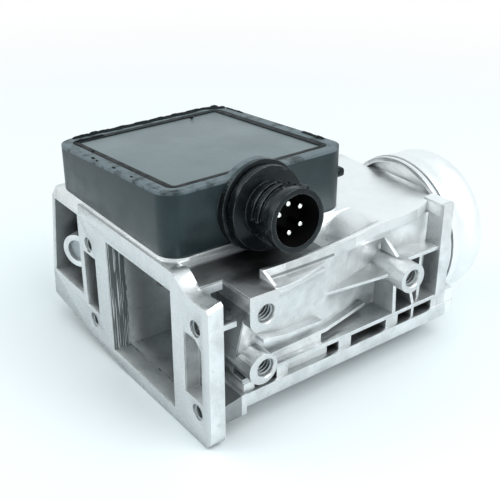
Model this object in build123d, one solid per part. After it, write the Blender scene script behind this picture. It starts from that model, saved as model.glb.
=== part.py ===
from build123d import *
from math import atan2, cos, degrees, hypot, pi, radians, sin, tan
import os

# Vane type air flow meter with a die-cast body, a hinged sensor flap and a potentiometer box.
# Millimetres. Origin: centre of the four inlet flange holes on the flange face.
# +Y follows the air from the inlet to the outlet, +X points to the plug side, +Z is up.

# Inlet flange
FLANGE_T = 6.5
BOLT_X = 41.2
BOLT_Z = 18.45
BOLT_HOLE_R = 3.4
BOLT_DEPTH = 13.0
FLANGE_RIGHT = 50.0
FLANGE_BOTTOM = -32.0
FLANGE_CORNER_R = 6.0

# Duct
OPENING_HALF_X = 25.0
DUCT_FLOOR = -25.8
DUCT_ROOF = 26.7
DUCT_WALL = 3.2
MOUTH_DEPTH = 8.2
THROAT_STEP = 0.4
FLARE_X = 31.0
FLARE_Y = 97.0
DECK_TOP = 35.0
DECK_T = 5.0
DECK_EDGE_X = -73.3
DECK_EDGE_Z = 30.4
DECK_EDGE_RUN = 1.6

# Pivot and flaps
PIVOT_X = -29.0
PIVOT_Y = 40.0
SHAFT_R = 3.0
HUB_R = 6.0
SENSOR_REACH = 53.0
DAMPER_REACH = 46.0
FLAP_T = 2.6
FLAP_END_GAP = 0.5
FLAP_TIP_GAP = 1.0
DAMPER_TIP_GAP = 0.8
HUB_GAP = 0.6
FLAP_TRAVEL = 82.0
RUNNING_GAP = 0.05
FACE_GAP = 0.1

# Outer body
BODY_LEFT = -76.0
LEFT_LOBE_X = -80.0
LEFT_LOBE_TOP = -9.2
LEFT_LOBE_BOTTOM = -22.5
LEFT_WALL_T = 1.3
BODY_REAR = 127.4
REAR_PLATE_T = 6.0
REAR_PLATE_TOP = 35.9
REAR_PLATE_RIGHT = 46.0
SIDE_FRONT = 15.8
RAIL_X_FRONT = 49.0
RAIL_X_REAR = 46.5
RAIL_END = 134.5
RAIL_END_R = 2.0
RAIL_BOTTOM = -18.8
RAIL_TOP = -13.0
SHELF_TOP = -6.6
SHELF_T = 1.8
LOW_DECK_TOP = 31.2
LOW_DECK_T = 4.0

# Outlet spigot
OUTLET_X = 12.5
OUTLET_Z = 10.6
OUTLET_BORE_R = 28.5
OUTLET_END = 151.0
OUTLET_THROAT_R = 23.0
OUTLET_THROAT_X = 11.0
THROAT_START = 123.0
OUTLET_THROAT_Z = 7.5
OUTLET_WALL_Y = 129.5
RECESS_RIM = 2.4
OUTLET_WALL_T = 2.5
COLLAR_R = 33.8
COLLAR_END = 134.5
NECK_R = 31.3
BEAD_R = 33.2
BEAD_Y = 145.0

# Bosses on the plug side, drilled along X
BOSS_FACE_X = 53.3
BOSS_R = 6.4
BOSS_BORE_R = 3.7
BOSS_MOUTH_R = 4.6
BOSS_DEPTH = 16.0
BOSS_FRONT_Y = 22.0
BOSS_HOLE_Y = 23.2
BOSS_HIGH_Z = 22.4
BOSS_LOW_Z = -1.2
BOSS_REAR_Y = 98.2
BOSS_REAR_Z = 12.2

# Potentiometer box
CASE_X0 = -70.1
CASE_X1 = 21.6
CASE_Y0 = 2.2
CASE_Y1 = 88.0
CASE_WALL = 3.0
SEAT_RISE = 1.1
SEAT_INSET = 1.75
SEAT_EDGE = 0.4
CASE_FLOOR_T = 2.5
CASE_CORNER_R = 9.0
CASE_TILT = 4.6
CASE_MID_H = 24.0
RIM_WIDTH = 5.0
GROOVE_W = 1.4
LID_T = 2.0
LID_SINK = 0.5
LID_LEDGE = 2.5

# Plug socket
PLUG_Y = 41.8
PLUG_Z = 49.7
PLUG_LENGTH = 25.5
PLUG_BARREL_R = 11.0
PLUG_BORE_R = 10.0
PLUG_BASE_R = 18.0
PLUG_RING_R = 16.6
PLUG_RIB_R = 12.2
PIN_R = 1.2
PIN_CIRCLE_R = 5.8
PIN_ANGLES = (155, 98, 36, -39, -99)
PIN_TIP_DEPTH = 4.0
PIN_LENGTH = 28.0
INSERT_FRONT = 14.5
INSERT_BACK = 3.0

# General fits
FIT = 0.05
SCREW_R = 2.0
SCREW_HEAD_R = 3.6
SCREW_HEAD_H = 2.4

# Parts under the lid, from the case floor up
WHEEL_R = 20.5
WHEEL_TEETH = 48
WHEEL_TOOTH = 1.3
WHEEL_Z = 38.2
WHEEL_T = 2.4
SPRING_Z = 41.2
SPRING_W = 3.0
SPRING_T = 0.5
SPRING_PITCH = 2.6
SPRING_TURNS = 4
COLLET_R = 6.0
BALANCE_Z = 45.6
BALANCE_T = 4.0
BALANCE_R = 30.0
BALANCE_ANGLE = 225.0
BALANCE_HALF = 17.0
BOARD_TOP = 49.8
BOARD_T = 1.0
BOARD_SCREW_BITE = 5.0
BOARD_HALF_X = 26.0
BOARD_Y0 = 8.5
BOARD_Y1 = 37.0
TRACK_RADII = (20.5, 26.5)
TRACK_W = 3.0
TRACK_T = 0.15
WIPER_ANGLE = 55.0
WIPER_Z = 51.2
WIPER_T = 0.5
SHAFT_TOP = 53.6
STOP_RING_R = 28.0
STOP_R = 3.5
STOP_POST_R = 2.0
STOP_GAP = 0.35

# Air temperature sensor in the inlet roof
SENSOR_X = -4.0
SENSOR_Y = 15.0
SENSOR_R = 3.5
SENSOR_FLANGE_R = 5.5
SENSOR_DROP = 13.0


def block(x0, x1, y0, y1, z0, z1):
    """A box between two corners."""
    return Pos((x0 + x1) / 2, (y0 + y1) / 2, (z0 + z1) / 2) * Box(x1 - x0, y1 - y0, z1 - z0)


def plan(points, z0, z1):
    """A prism whose outline is given in X and Y."""
    face = make_face(Polyline(*[(x, y, z0) for x, y in points], close=True))
    return extrude(face, amount=z1 - z0, dir=(0, 0, 1))


def front(points, y0, y1):
    """A prism whose outline is given in X and Z."""
    face = make_face(Polyline(*[(x, y0, z) for x, z in points], close=True))
    return extrude(face, amount=y1 - y0, dir=(0, 1, 0))


def side(points, x0, x1):
    """A prism whose outline is given in Y and Z."""
    face = make_face(Polyline(*[(x0, y, z) for y, z in points], close=True))
    return extrude(face, amount=x1 - x0, dir=(1, 0, 0))


def along(origin, direction, radius, length, start=0.0):
    """A round bar from origin + start along direction."""
    where = Plane(origin=origin, z_dir=direction)
    return where * Pos(0, 0, start + length / 2) * Cylinder(radius, length)


def rod_x(y, z, radius, x0, x1):
    """A round bar along X."""
    return along((x0, y, z), (1, 0, 0), radius, x1 - x0)


def rod_y(x, z, radius, y0, y1):
    """A round bar along Y."""
    return along((x, y0, z), (0, 1, 0), radius, y1 - y0)


def rod_z(x, y, radius, z0, z1):
    """A round bar along Z."""
    return Pos(x, y, (z0 + z1) / 2) * Cylinder(radius, z1 - z0)


def tube_z(x, y, outer, inner, z0, z1):
    """A round sleeve along Z."""
    return rod_z(x, y, outer, z0, z1) - rod_z(x, y, inner, z0 - 1, z1 + 1)


def sector(radius, start, end, z0, z1):
    """A pie slice about the pivot, between two angles from +X."""
    middle = radians((start + end) / 2)
    points = [(PIVOT_X, PIVOT_Y)]
    edge = [(PIVOT_X + radius * cos(radians(a)), PIVOT_Y + radius * sin(radians(a))) for a in (start, end)]
    peak = (PIVOT_X + radius * cos(middle), PIVOT_Y + radius * sin(middle))
    outline = Polyline(edge[1], points[0], edge[0]) + ThreePointArc(edge[0], peak, edge[1])
    return Pos(0, 0, z0) * extrude(make_face(outline), amount=z1 - z0, dir=(0, 0, 1))


def save(name, shape):
    """Write one sub-part."""
    shape.label = name
    export_step(shape, "parts/" + name + ".step")


# Bearings
BEARING_R = 5.5
LOWER_BOSS_R = 9.0
LOWER_BOSS_BOTTOM = -31.5

# Fastener positions of the bottom cover
COVER_T = 3.0
COVER_BOSS_R = 4.5
COVER_OVERLAP = 3.6
SCREW_TAP_DEPTH = 9.0
COVER_RIB_REACH = 36.0
CHAMBER_R = DAMPER_REACH + DAMPER_TIP_GAP
SCREW_RING_R = CHAMBER_R + COVER_BOSS_R + 2.5
COVER_FRONT = PIVOT_Y - LOWER_BOSS_R - 1.0
COVER_REAR = PIVOT_Y + CHAMBER_R + DUCT_WALL
SIDE_SCREW_X = OPENING_HALF_X + DUCT_WALL + COVER_BOSS_R - 0.7


def ring_point(angle):
    """A point outside the damping chamber where a cover screw goes."""
    a = radians(angle)
    return (PIVOT_X + SCREW_RING_R * cos(a), PIVOT_Y + SCREW_RING_R * sin(a))


COVER_SCREWS = [
    ring_point(92),
    ring_point(134),
    (BODY_LEFT + COVER_BOSS_R, COVER_FRONT + 1.0),
    (PIVOT_X - 14.0, COVER_FRONT - 1.0),
    (SIDE_SCREW_X, COVER_FRONT + 4.0),
    (SIDE_SCREW_X, PIVOT_Y + SENSOR_REACH / 2),
]


# Rear edge of the low step of the deck
LOW_DECK_REAR = 28.8


# The casting

SHOULDER_X = 24.0
SHOULDER_LOW = 26.0


def flange_plate():
    """Inlet flange with its lower left lobe and its stepped top edge."""
    inner_left = -49.5
    pocket_floor = LEFT_LOBE_TOP
    outline = [
        (inner_left, pocket_floor),
        (inner_left, 18.0),
        (-56.0, 16.6),
        (-56.0, 30.0),
        (-49.0, 30.5),
        (-47.0, DECK_TOP),
        (SHOULDER_X, DECK_TOP),
        (SHOULDER_X, SHOULDER_LOW),
        (FLANGE_RIGHT, SHOULDER_LOW),
        (FLANGE_RIGHT + 0.4, FLANGE_BOTTOM),
        (-12.0, FLANGE_BOTTOM),
        (-48.6, -27.6),
        (LEFT_LOBE_X - 0.8, LEFT_LOBE_BOTTOM),
        (LEFT_LOBE_X, LEFT_LOBE_TOP),
    ]
    plate = front(outline, 0, FLANGE_T)
    corner = plate.edges().filter_by(Axis.Y).sort_by_distance((FLANGE_RIGHT, 3, FLANGE_BOTTOM))[0]
    plate = fillet(corner, FLANGE_CORNER_R)
    web_hole = front([(-55.2, 18.3), (-50.6, 19.4), (-50.6, 24.5)], -1, FLANGE_T + 1)
    return plate + flange_shoulder() - web_hole


def flange_shoulder():
    """Curved top right end of the flange, higher at the back than at the face."""

    def profile(y, curve, corner_z):
        top = Spline(*[(x, y, z) for x, z in curve])
        start = curve[0]
        end = curve[-1]
        low = SHOULDER_LOW - 0.5
        rest = Polyline(
            (end[0], y, end[1]),
            (FLANGE_RIGHT, y, corner_z),
            (FLANGE_RIGHT, y, low),
            (SHOULDER_X - 1, y, low),
            (SHOULDER_X - 1, y, start[1]),
            (start[0], y, start[1]),
        )
        return make_face(top + rest)

    face_curve = [(SHOULDER_X, DECK_TOP), (28.0, 33.8), (33.0, 31.2), (38.0, 29.6), (48.5, 29.4)]
    back_curve = [(SHOULDER_X, DECK_TOP), (30.6, 34.2), (34.5, 31.2), (39.6, 30.1), (48.5, 31.2)]
    return loft([profile(0, face_curve, 28.4), profile(FLANGE_T, back_curve, 30.0)], ruled=True)


def deck_plate():
    """Top skin under the potentiometer box, with its curved lip on the plug side."""
    z0 = DECK_TOP - DECK_T
    step_y = 25.5
    lip_low = (44.8, step_y)
    lip_end = (36.2, BODY_REAR - REAR_PLATE_T)
    lip = [lip_low, (45.3, 50.0), (43.5, 77.0), (41.1, 91.0), (41.1, 101.0), (40.0, 111.0), lip_end]
    rear_left = (PIVOT_X + 4.0, BODY_REAR)
    left_rear = (DECK_EDGE_X, PIVOT_Y + 46.0)
    outline = (
        Polyline(
            lip_end,
            (REAR_PLATE_RIGHT, BODY_REAR - REAR_PLATE_T),
            (REAR_PLATE_RIGHT, BODY_REAR),
            rear_left,
            (-46.0, 106.0),
            left_rear,
            (DECK_EDGE_X, 0.0),
            (-47.0, 0.0),
            (-47.0, FLANGE_T),
            (29.5, FLANGE_T),
            (29.5, step_y),
            lip_low,
        )
        + Spline(*lip)
    )
    plate = Pos(0, 0, z0) * extrude(make_face(outline), amount=DECK_T, dir=(0, 0, 1))
    lip_slope = front(
        [(40.0, z0), (40.0, DECK_TOP), (lip_low[0], DECK_TOP), (BOSS_FACE_X, LOW_DECK_TOP), (BOSS_FACE_X, z0)],
        LOW_DECK_REAR - 1.4,
        LOW_DECK_REAR,
    )
    return plate + lip_slope - block(40.0, 60.0, step_y - 1, LOW_DECK_REAR - 1.4, z0 - 1, DECK_TOP + 1)


def case_seat():
    """Raised rim of the deck that the potentiometer box sits in."""
    width = CASE_X1 - CASE_X0
    depth = CASE_Y1 - CASE_Y0
    outer = RectangleRounded(width + 2 * SEAT_EDGE, depth + 2 * SEAT_EDGE, CASE_CORNER_R + SEAT_EDGE)
    inner = RectangleRounded(width - 2 * SEAT_INSET, depth - 2 * SEAT_INSET, CASE_CORNER_R - SEAT_INSET)
    where = Pos((CASE_X0 + CASE_X1) / 2, (CASE_Y0 + CASE_Y1) / 2, LOW_DECK_TOP)
    rise = DECK_TOP + SEAT_RISE - LOW_DECK_TOP
    return where * (extrude(outer, amount=rise) - extrude(inner, amount=rise))


def plug_recess():
    """Hollow of the deck beside the box, under the plug, with its ramp at the rear."""
    step = LOW_DECK_REAR - 1.4
    edge = [(44.8, step), (45.2, 38.0), (45.0, 52.0), (43.6, 72.0), (40.9, 92.0)]
    rim = 1.6
    outline = [(CASE_X1 + SEAT_EDGE, FLANGE_T), (60.0, FLANGE_T), (60.0, step)]
    outline += [(x - rim, y) for x, y in edge] + [(CASE_X1 + SEAT_EDGE, edge[-1][1])]
    ramp = [(66.0, 0.0), (73.0, 0.7), (80.0, 2.2), (86.0, 3.3), (91.9, DECK_TOP - LOW_DECK_TOP)]
    over = DECK_TOP + 6.0
    floor = [(0.0, LOW_DECK_TOP)] + [(y, LOW_DECK_TOP + rise) for y, rise in ramp]
    return plan(outline, LOW_DECK_TOP - 1, over) & side(floor + [(95.0, over), (0.0, over)], 10.0, 70.0)


def deck_bevels():
    """Sloped edges of the deck at the front left and along the left side."""
    edge_x = DECK_EDGE_X
    slope = (DECK_TOP - DECK_EDGE_Z) / DECK_EDGE_RUN
    low = DECK_EDGE_Z - slope
    over = DECK_TOP + 5.0
    front_bevel = side(
        [(-1, low), (-1, over), (DECK_EDGE_RUN, over), (DECK_EDGE_RUN, DECK_TOP)], edge_x - 1, -48.0
    )
    left_bevel = front(
        [
            (edge_x - 1, low),
            (edge_x - 1, over),
            (edge_x + DECK_EDGE_RUN, over),
            (edge_x + DECK_EDGE_RUN, DECK_TOP),
        ],
        -1,
        PIVOT_Y + 47.0,
    )
    return front_bevel + left_bevel


def low_deck():
    """The lower step of the deck in front of the plug and beside it."""
    low = LOW_DECK_TOP - LOW_DECK_T
    step = block(22.0, BOSS_FACE_X, SIDE_FRONT, LOW_DECK_REAR, low, LOW_DECK_TOP)
    step += block(22.0, 36.0, FLANGE_T - 1, SIDE_FRONT + 1, low, LOW_DECK_TOP)
    return step + block(20.0, 40.0, LOW_DECK_REAR - 1, FLARE_Y, low, LOW_DECK_TOP)


def side_wall():
    """The smooth curved wall on the plug side, leaning in towards its foot."""
    inner = OPENING_HALF_X
    rear = BODY_REAR - REAR_PLATE_T + 0.5

    def section(z, front_x, shoulder_y, mid, waist, end_x):
        curve = Spline((front_x, shoulder_y), mid, waist, (end_x, rear), tangents=((0, 1), (0.25, 1)))
        lines = Polyline((end_x, rear), (inner, rear), (inner, SIDE_FRONT), (front_x, SIDE_FRONT))
        closing = Line((front_x, SIDE_FRONT), (front_x, shoulder_y))
        return Pos(0, 0, z) * make_face(lines + closing + curve)

    top = section(DECK_TOP - DECK_T, 51.5, 29.0, (45.4, 58.0), (35.4, 93.0), 37.6)
    bottom = section(SHELF_TOP - 1, 41.5, 29.0, (41.0, 58.0), (34.4, 91.0), 37.0)
    return loft([bottom, top])


def main_block():
    """Solid outline of the duct and the damping chamber before they are hollowed."""
    low = DUCT_FLOOR - DUCT_WALL
    wall_x = OPENING_HALF_X + DUCT_WALL
    throat = block(-wall_x, wall_x, 0, COVER_FRONT, low, DECK_TOP - 1)
    middle = block(PIVOT_X - HUB_R, wall_x, COVER_FRONT - 4, COVER_REAR, low, DECK_TOP - 1)
    chamber = sector(CHAMBER_R + DUCT_WALL, 84, 188, low + DUCT_WALL, DECK_TOP - 1)
    left = front(
        [
            (LEFT_LOBE_X - 0.8, LEFT_LOBE_BOTTOM),
            (LEFT_LOBE_X, LEFT_LOBE_TOP),
            (DECK_EDGE_X, DECK_EDGE_Z),
            (DECK_EDGE_X, DECK_TOP - 1),
            (-wall_x + 1, DECK_TOP - 1),
            (-wall_x + 1, LEFT_LOBE_BOTTOM),
        ],
        0,
        PIVOT_Y,
    )
    rear = plan(
        [
            (PIVOT_X - DUCT_WALL, COVER_REAR - 12),
            (wall_x, COVER_REAR - 12),
            (FLARE_X + DUCT_WALL, FLARE_Y - 6),
            (FLARE_X + DUCT_WALL, BODY_REAR),
            (PIVOT_X - DUCT_WALL, BODY_REAR),
        ],
        low,
        DECK_TOP - 1,
    )
    flank = plan(
        [(wall_x - 2, PIVOT_Y), (wall_x, PIVOT_Y), (FLARE_X + DUCT_WALL, FLARE_Y - 6), (wall_x - 2, FLARE_Y - 6)],
        low,
        DECK_TOP - 1,
    )
    return throat + middle + chamber + left + rear + flank


def rail_x(y):
    """Outer edge of the base rail, which runs in slightly towards the outlet."""
    return RAIL_X_FRONT + (RAIL_X_REAR - RAIL_X_FRONT) * (y - SIDE_FRONT) / (RAIL_END - SIDE_FRONT)


def base_rail():
    """Base rail with its lip, the shelf above it and the webs between them."""
    inner = OPENING_HALF_X + 1
    start = SIDE_FRONT
    tail = max(RAIL_END, BODY_REAR + 1.0)
    tail_x = RAIL_X_REAR - 8.5
    edge = [(inner, start), (rail_x(start), start), (rail_x(tail), tail - RAIL_END_R), (rail_x(tail) - RAIL_END_R, tail)]
    edge += [(tail_x, tail), (tail_x, BODY_REAR - 2), (inner, BODY_REAR - 2)]
    plate = plan(edge, RAIL_BOTTOM, RAIL_BOTTOM + 3.0)
    lip_w = 4.0
    lip = plan(
        [
            (rail_x(start) - lip_w, start),
            (rail_x(start), start),
            (rail_x(tail), tail - RAIL_END_R),
            (rail_x(tail) - RAIL_END_R, tail),
            (rail_x(tail) - lip_w - 2, tail),
            (rail_x(tail) - lip_w - 2, BODY_REAR - 4),
        ],
        RAIL_BOTTOM,
        RAIL_TOP,
    )
    shelf_edge = 1.0
    shelf = plan(
        [
            (inner, start),
            (rail_x(start) - shelf_edge, start),
            (rail_x(BODY_REAR) - shelf_edge, BODY_REAR - 2),
            (inner, BODY_REAR - 2),
        ],
        SHELF_TOP - SHELF_T,
        SHELF_TOP,
    )
    body = plate + lip + shelf
    webs = [(17.0, 22.0), (33.0, 38.5), (65.3, 72.0), (92.1, 99.0), (107.3, 108.7), (119.6, 126.0)]
    for y0, y1 in webs:
        outer = rail_x((y0 + y1) / 2) - 1.4
        body += block(inner, outer, y0, y1, RAIL_BOTTOM + 1, SHELF_TOP - 0.5)
    body += block(36.0, rail_x(40) - 3.2, 38.0, 60.0, RAIL_BOTTOM + 1, SHELF_TOP - 0.5)
    end_lug = block(36.0, rail_x(tail) - shelf_edge, BODY_REAR - 4, tail - 1.6, RAIL_TOP - 1, SHELF_TOP)
    return body + end_lug


def foot():
    """Gusset between the flange and the base rail."""
    x0 = OPENING_HALF_X + 1
    return side(
        [(FLANGE_T - 1, -22.6), (SIDE_FRONT + 1.5, -22.0), (SIDE_FRONT + 1.5, -12.5), (FLANGE_T - 1, -15.0)],
        x0,
        RAIL_X_FRONT,
    )


def plug_side_bosses():
    """Three bracket bosses with their ribs."""
    high = block(30.0, BOSS_FACE_X, SIDE_FRONT, LOW_DECK_REAR, BOSS_HIGH_Z - 6.6, LOW_DECK_TOP)
    high = fillet(high.edges().filter_by(Axis.X).sort_by(Axis.Z)[:2], 5.0)
    low = rod_x(BOSS_FRONT_Y, BOSS_LOW_Z, BOSS_R, 28.0, BOSS_FACE_X)
    rear = rod_x(BOSS_REAR_Y, BOSS_REAR_Z, BOSS_R, 30.0, BOSS_FACE_X)
    front_wall = front(
        [(OPENING_HALF_X, SHELF_TOP), (42.0, SHELF_TOP), (44.0, 15.0), (OPENING_HALF_X, 15.0)],
        SIDE_FRONT,
        SIDE_FRONT + 3.0,
    )
    under_rib = block(30.0, 46.0, BOSS_FRONT_Y - 3.0, BOSS_FRONT_Y - 0.5, RAIL_TOP - 1, BOSS_LOW_Z)
    bosses = high + low + rear + front_wall + under_rib
    slope = front(
        [(33.0, BOSS_REAR_Z), (44.8, BOSS_REAR_Z + BOSS_R - 0.4), (34.4, 25.8), (33.0, 25.8)],
        BOSS_REAR_Y - 1.0,
        BOSS_REAR_Y + 0.6,
    )
    low_rib = front(
        [(34.0, BOSS_REAR_Z), (45.0, BOSS_REAR_Z), (46.0, SHELF_TOP), (34.0, SHELF_TOP)],
        BOSS_REAR_Y - 2.8,
        BOSS_REAR_Y - 1.0,
    )
    rear_rib = side(
        [(BOSS_REAR_Y + 5.0, BOSS_REAR_Z - 5), (BOSS_REAR_Y + 6.4, BOSS_REAR_Z - 5),
         (BOSS_REAR_Y + 10.5, SHELF_TOP), (BOSS_REAR_Y + 9.0, SHELF_TOP)], 34.0, 45.5)
    return bosses + slope + low_rib + rear_rib


def rear_corner():
    """Rear plate, its corner shelf and the fillet line beside the wall."""
    start = BODY_REAR - REAR_PLATE_T
    plate = block(PIVOT_X + 3.0, REAR_PLATE_RIGHT - 4.0, start, BODY_REAR, RAIL_BOTTOM, DECK_TOP)
    plate += block(34.0, REAR_PLATE_RIGHT, start, BODY_REAR, SHELF_TOP - 1, REAR_PLATE_TOP)
    shelf = block(34.0, 44.5, BOSS_REAR_Y + 4.0, BODY_REAR - 2, BOSS_REAR_Z + 2.6, BOSS_REAR_Z + 4.2)
    web = block(34.0, 43.0, 112.5, 114.0, SHELF_TOP - 0.5, BOSS_REAR_Z + 3.0)
    return plate + shelf + web


def wall_ribs():
    """Thin steps and the tapered gusset cast on the curved wall."""
    gusset = plan([(38.0, 57.5), (42.6, 57.5), (46.2, 91.0), (44.0, 94.0), (34.0, 94.0)], 12.2, 13.5)
    upper = plan([(44.0, 28.0), (52.9, 28.0), (47.4, 56.0), (44.0, 56.0)], 26.9, 28.3)
    sloped = [(22.0, 10.2), (36.0, 6.8), (57.0, 4.3), (57.0, 2.8), (36.0, 5.2), (22.0, 8.6)]
    middle = plan([(40.0, 24.0), (50.6, 24.0), (46.4, 56.0), (40.0, 56.0)], 0, 12) & side(sloped, 36.0, 56.0)
    lower = plan([(36.0, 27.0), (46.0, 27.0), (44.4, 60.0), (38.6, 86.0), (36.0, 86.0)], -3.4, -1.8)
    return gusset + upper + middle + lower


def outlet_spigot():
    """Round outlet with its collar, groove, neck and rolled bead."""
    y0 = BODY_REAR - 0.6
    groove = 0.9
    curve = (
        Polyline(
            (OUTLET_THROAT_R, y0),
            (COLLAR_R - 0.4, y0),
            (COLLAR_R - 0.4, BODY_REAR + 1.4),
            (COLLAR_R - 0.4 - groove, BODY_REAR + 1.4),
            (COLLAR_R - 0.4 - groove, BODY_REAR + 2.4),
            (COLLAR_R, BODY_REAR + 2.4),
            (COLLAR_R, COLLAR_END),
            (NECK_R, COLLAR_END + 1.2),
            (NECK_R, BEAD_Y - 5.0),
        )
        + ThreePointArc((NECK_R, BEAD_Y - 5.0), (BEAD_R, BEAD_Y), (NECK_R - 0.4, OUTLET_END))
        + Polyline((NECK_R - 0.4, OUTLET_END), (OUTLET_THROAT_R, OUTLET_END), (OUTLET_THROAT_R, y0))
    )
    profile = Plane(origin=(OUTLET_X, 0, OUTLET_Z), x_dir=(1, 0, 0), z_dir=(0, 0, 1)) * make_face(curve)
    axis = Axis((OUTLET_X, 0, OUTLET_Z), (0, 1, 0))
    ring = revolve(profile, axis, 360)
    core = rod_y(OUTLET_X, OUTLET_Z, OUTLET_THROAT_R + 1, y0, OUTLET_WALL_Y + OUTLET_WALL_T)
    recess = rod_y(OUTLET_X, OUTLET_Z, COLLAR_R - RECESS_RIM, y0 - 1, OUTLET_WALL_Y)
    recess -= block(-60, 80, 100, 140, -60, DECK_TOP)
    return ring + core - recess


def air_path():
    """Everything that is hollow between the inlet and the outlet, piece by piece."""
    low = DUCT_FLOOR + THROAT_STEP
    mouth = block(-OPENING_HALF_X, OPENING_HALF_X, -1, MOUTH_DEPTH, DUCT_FLOOR, DUCT_ROOF)
    neck_x = -OPENING_HALF_X + THROAT_STEP
    throat = mouth + block(neck_x, OPENING_HALF_X, MOUTH_DEPTH - 1, COVER_FRONT, low, DUCT_ROOF)
    throat += block(-OPENING_HALF_X, OPENING_HALF_X, COVER_FRONT - 1, PIVOT_Y, DUCT_FLOOR, DUCT_ROOF)
    hub = rod_z(PIVOT_X, PIVOT_Y, HUB_R + HUB_GAP, DUCT_FLOOR - DUCT_WALL - 1, DUCT_ROOF)
    sweep = sector(SENSOR_REACH + FLAP_TIP_GAP, 0, 90, DUCT_FLOOR, DUCT_ROOF)
    slot = block(PIVOT_X - HUB_R, PIVOT_X + 2, PIVOT_Y - 2.5, PIVOT_Y + 10, DUCT_FLOOR, DUCT_ROOF)
    chamber = sector(CHAMBER_R, 87, 180, DUCT_FLOOR, DUCT_ROOF)
    chamber += block(PIVOT_X - 14.0, PIVOT_X, PIVOT_Y - 2.0, PIVOT_Y + 2.0, DUCT_FLOOR, DUCT_ROOF)
    left = PIVOT_X + 2.0
    duct = plan(
        [
            (left, PIVOT_Y),
            (OPENING_HALF_X, PIVOT_Y),
            (FLARE_X, FLARE_Y - 8),
            (FLARE_X, FLARE_Y),
            (left, FLARE_Y),
        ],
        DUCT_FLOOR,
        DUCT_ROOF,
    )
    mouth = Pos((left + FLARE_X) / 2, FLARE_Y, (DUCT_FLOOR + DUCT_ROOF) / 2)
    rect = mouth * Rot(90, 0, 0) * RectangleRounded(FLARE_X - left, DUCT_ROOF - DUCT_FLOOR, 4.0)
    ring = Pos(OUTLET_THROAT_X, THROAT_START, OUTLET_THROAT_Z) * Rot(90, 0, 0) * Circle(OUTLET_THROAT_R)
    blend = loft([rect, ring])
    wall_end = OUTLET_WALL_Y + OUTLET_WALL_T
    neck = rod_y(OUTLET_THROAT_X, OUTLET_THROAT_Z, OUTLET_THROAT_R, THROAT_START, wall_end + 0.1)
    bore = rod_y(OUTLET_X, OUTLET_Z, OUTLET_BORE_R, wall_end, OUTLET_END + 1)
    cover_seat = bottom_outline(0.3, DUCT_FLOOR - DUCT_WALL - 4, DUCT_FLOOR)
    return [throat, hub, sweep, slot, chamber, duct, blend, neck, bore, cover_seat]


def bottom_outline(grow, z0, z1):
    """Outline of the bottom cover, grown all round."""
    wall_x = OPENING_HALF_X + DUCT_WALL
    reach = CHAMBER_R + COVER_OVERLAP + grow
    body = sector(reach, 90, 184, z0, z1)
    body += block(
        PIVOT_X - reach, wall_x + 6.5 + grow, COVER_FRONT - grow, PIVOT_Y + 4, z0, z1
    )
    body += block(PIVOT_X - 1, wall_x + 6.5 + grow, COVER_FRONT - grow, COVER_REAR + grow, z0, z1)
    for x, y in COVER_SCREWS:
        body += rod_z(x, y, COVER_BOSS_R + grow, z0, z1)
    return body


def pockets():
    """Front left pocket, the slots beside the inlet and the cores open from below."""
    left_x = BODY_LEFT + 2.6
    wall = OPENING_HALF_X + DUCT_WALL
    pocket_rear = COVER_FRONT - 1.5
    floor_z = LEFT_LOBE_TOP
    roof_z = 29.6
    front_left = front(
        [
            (LEFT_LOBE_X + LEFT_WALL_T, floor_z),
            (DECK_EDGE_X + LEFT_WALL_T, roof_z),
            (-49.5, roof_z),
            (-49.5, floor_z),
        ],
        -1,
        pocket_rear,
    )
    behind_slot = block(-52.0, -wall - 1.0, FLANGE_T, pocket_rear - 3, floor_z, 29.0)
    slot_left = block(-46.0, -35.5, -1, FLANGE_T + 1, -13.0, 14.0)
    slot_left_room = block(-47.0, -wall - 1.0, FLANGE_T, pocket_rear - 3, -13.0, 10.0)
    slot_right = front([(33.3, -13.1), (45.0, -13.1), (45.0, 10.5), (41.0, 14.0), (33.3, 14.0)], -1, FLANGE_T + 1)
    under_left = block(left_x, -wall - 1.0, FLANGE_T, pocket_rear - 3, -40, -16.5)
    under_side = plan(
        [(31.5, SIDE_FRONT + 3), (42.0, SIDE_FRONT + 6), (42.5, 52.0), (36.0, 60.0), (31.5, 60.0)],
        SHELF_TOP - 3,
        24.0,
    )
    return front_left + behind_slot + slot_left + slot_left_room + slot_right + under_left, under_side


# Bypass screw boss in the left pocket
BYPASS_X = -61.0
BYPASS_Y = 4.0
BYPASS_Z = 6.1
BYPASS_R = 7.8
BYPASS_BORE_R = 5.2
BYPASS_YAW = 25.0
BYPASS_LENGTH = 26.0
BYPASS_BORE_DEPTH = 17.0
BYPASS_PASSAGE_R = 2.4
BYPASS_OUT = (sin(radians(BYPASS_YAW)), -cos(radians(BYPASS_YAW)), 0)
BYPASS_IN = (-BYPASS_OUT[0], -BYPASS_OUT[1], 0)
BYPASS_AT = (BYPASS_X, BYPASS_Y, BYPASS_Z)


def bypass_boss():
    """Round boss with its stem, drilled for the bypass screw."""
    barrel = along(BYPASS_AT, BYPASS_IN, BYPASS_R, BYPASS_LENGTH)
    stem = block(BYPASS_X + 3, -48.0, 5.5, 14.0, BYPASS_Z - BYPASS_R - 3.5, BYPASS_Z)
    return barrel + stem


def bypass_bore():
    """Bore for the screw and the passage behind it."""
    bore = along(BYPASS_AT, BYPASS_IN, BYPASS_BORE_R, BYPASS_BORE_DEPTH + 2, -2)
    return bore + along(BYPASS_AT, BYPASS_IN, BYPASS_PASSAGE_R, 6, BYPASS_BORE_DEPTH - 1)


def flange_tab():
    """Small tab on the back of the flange."""
    return block(47.4, FLANGE_RIGHT - 0.4, FLANGE_T - 1, FLANGE_T + 6.0, 19.2, 21.4)


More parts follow.
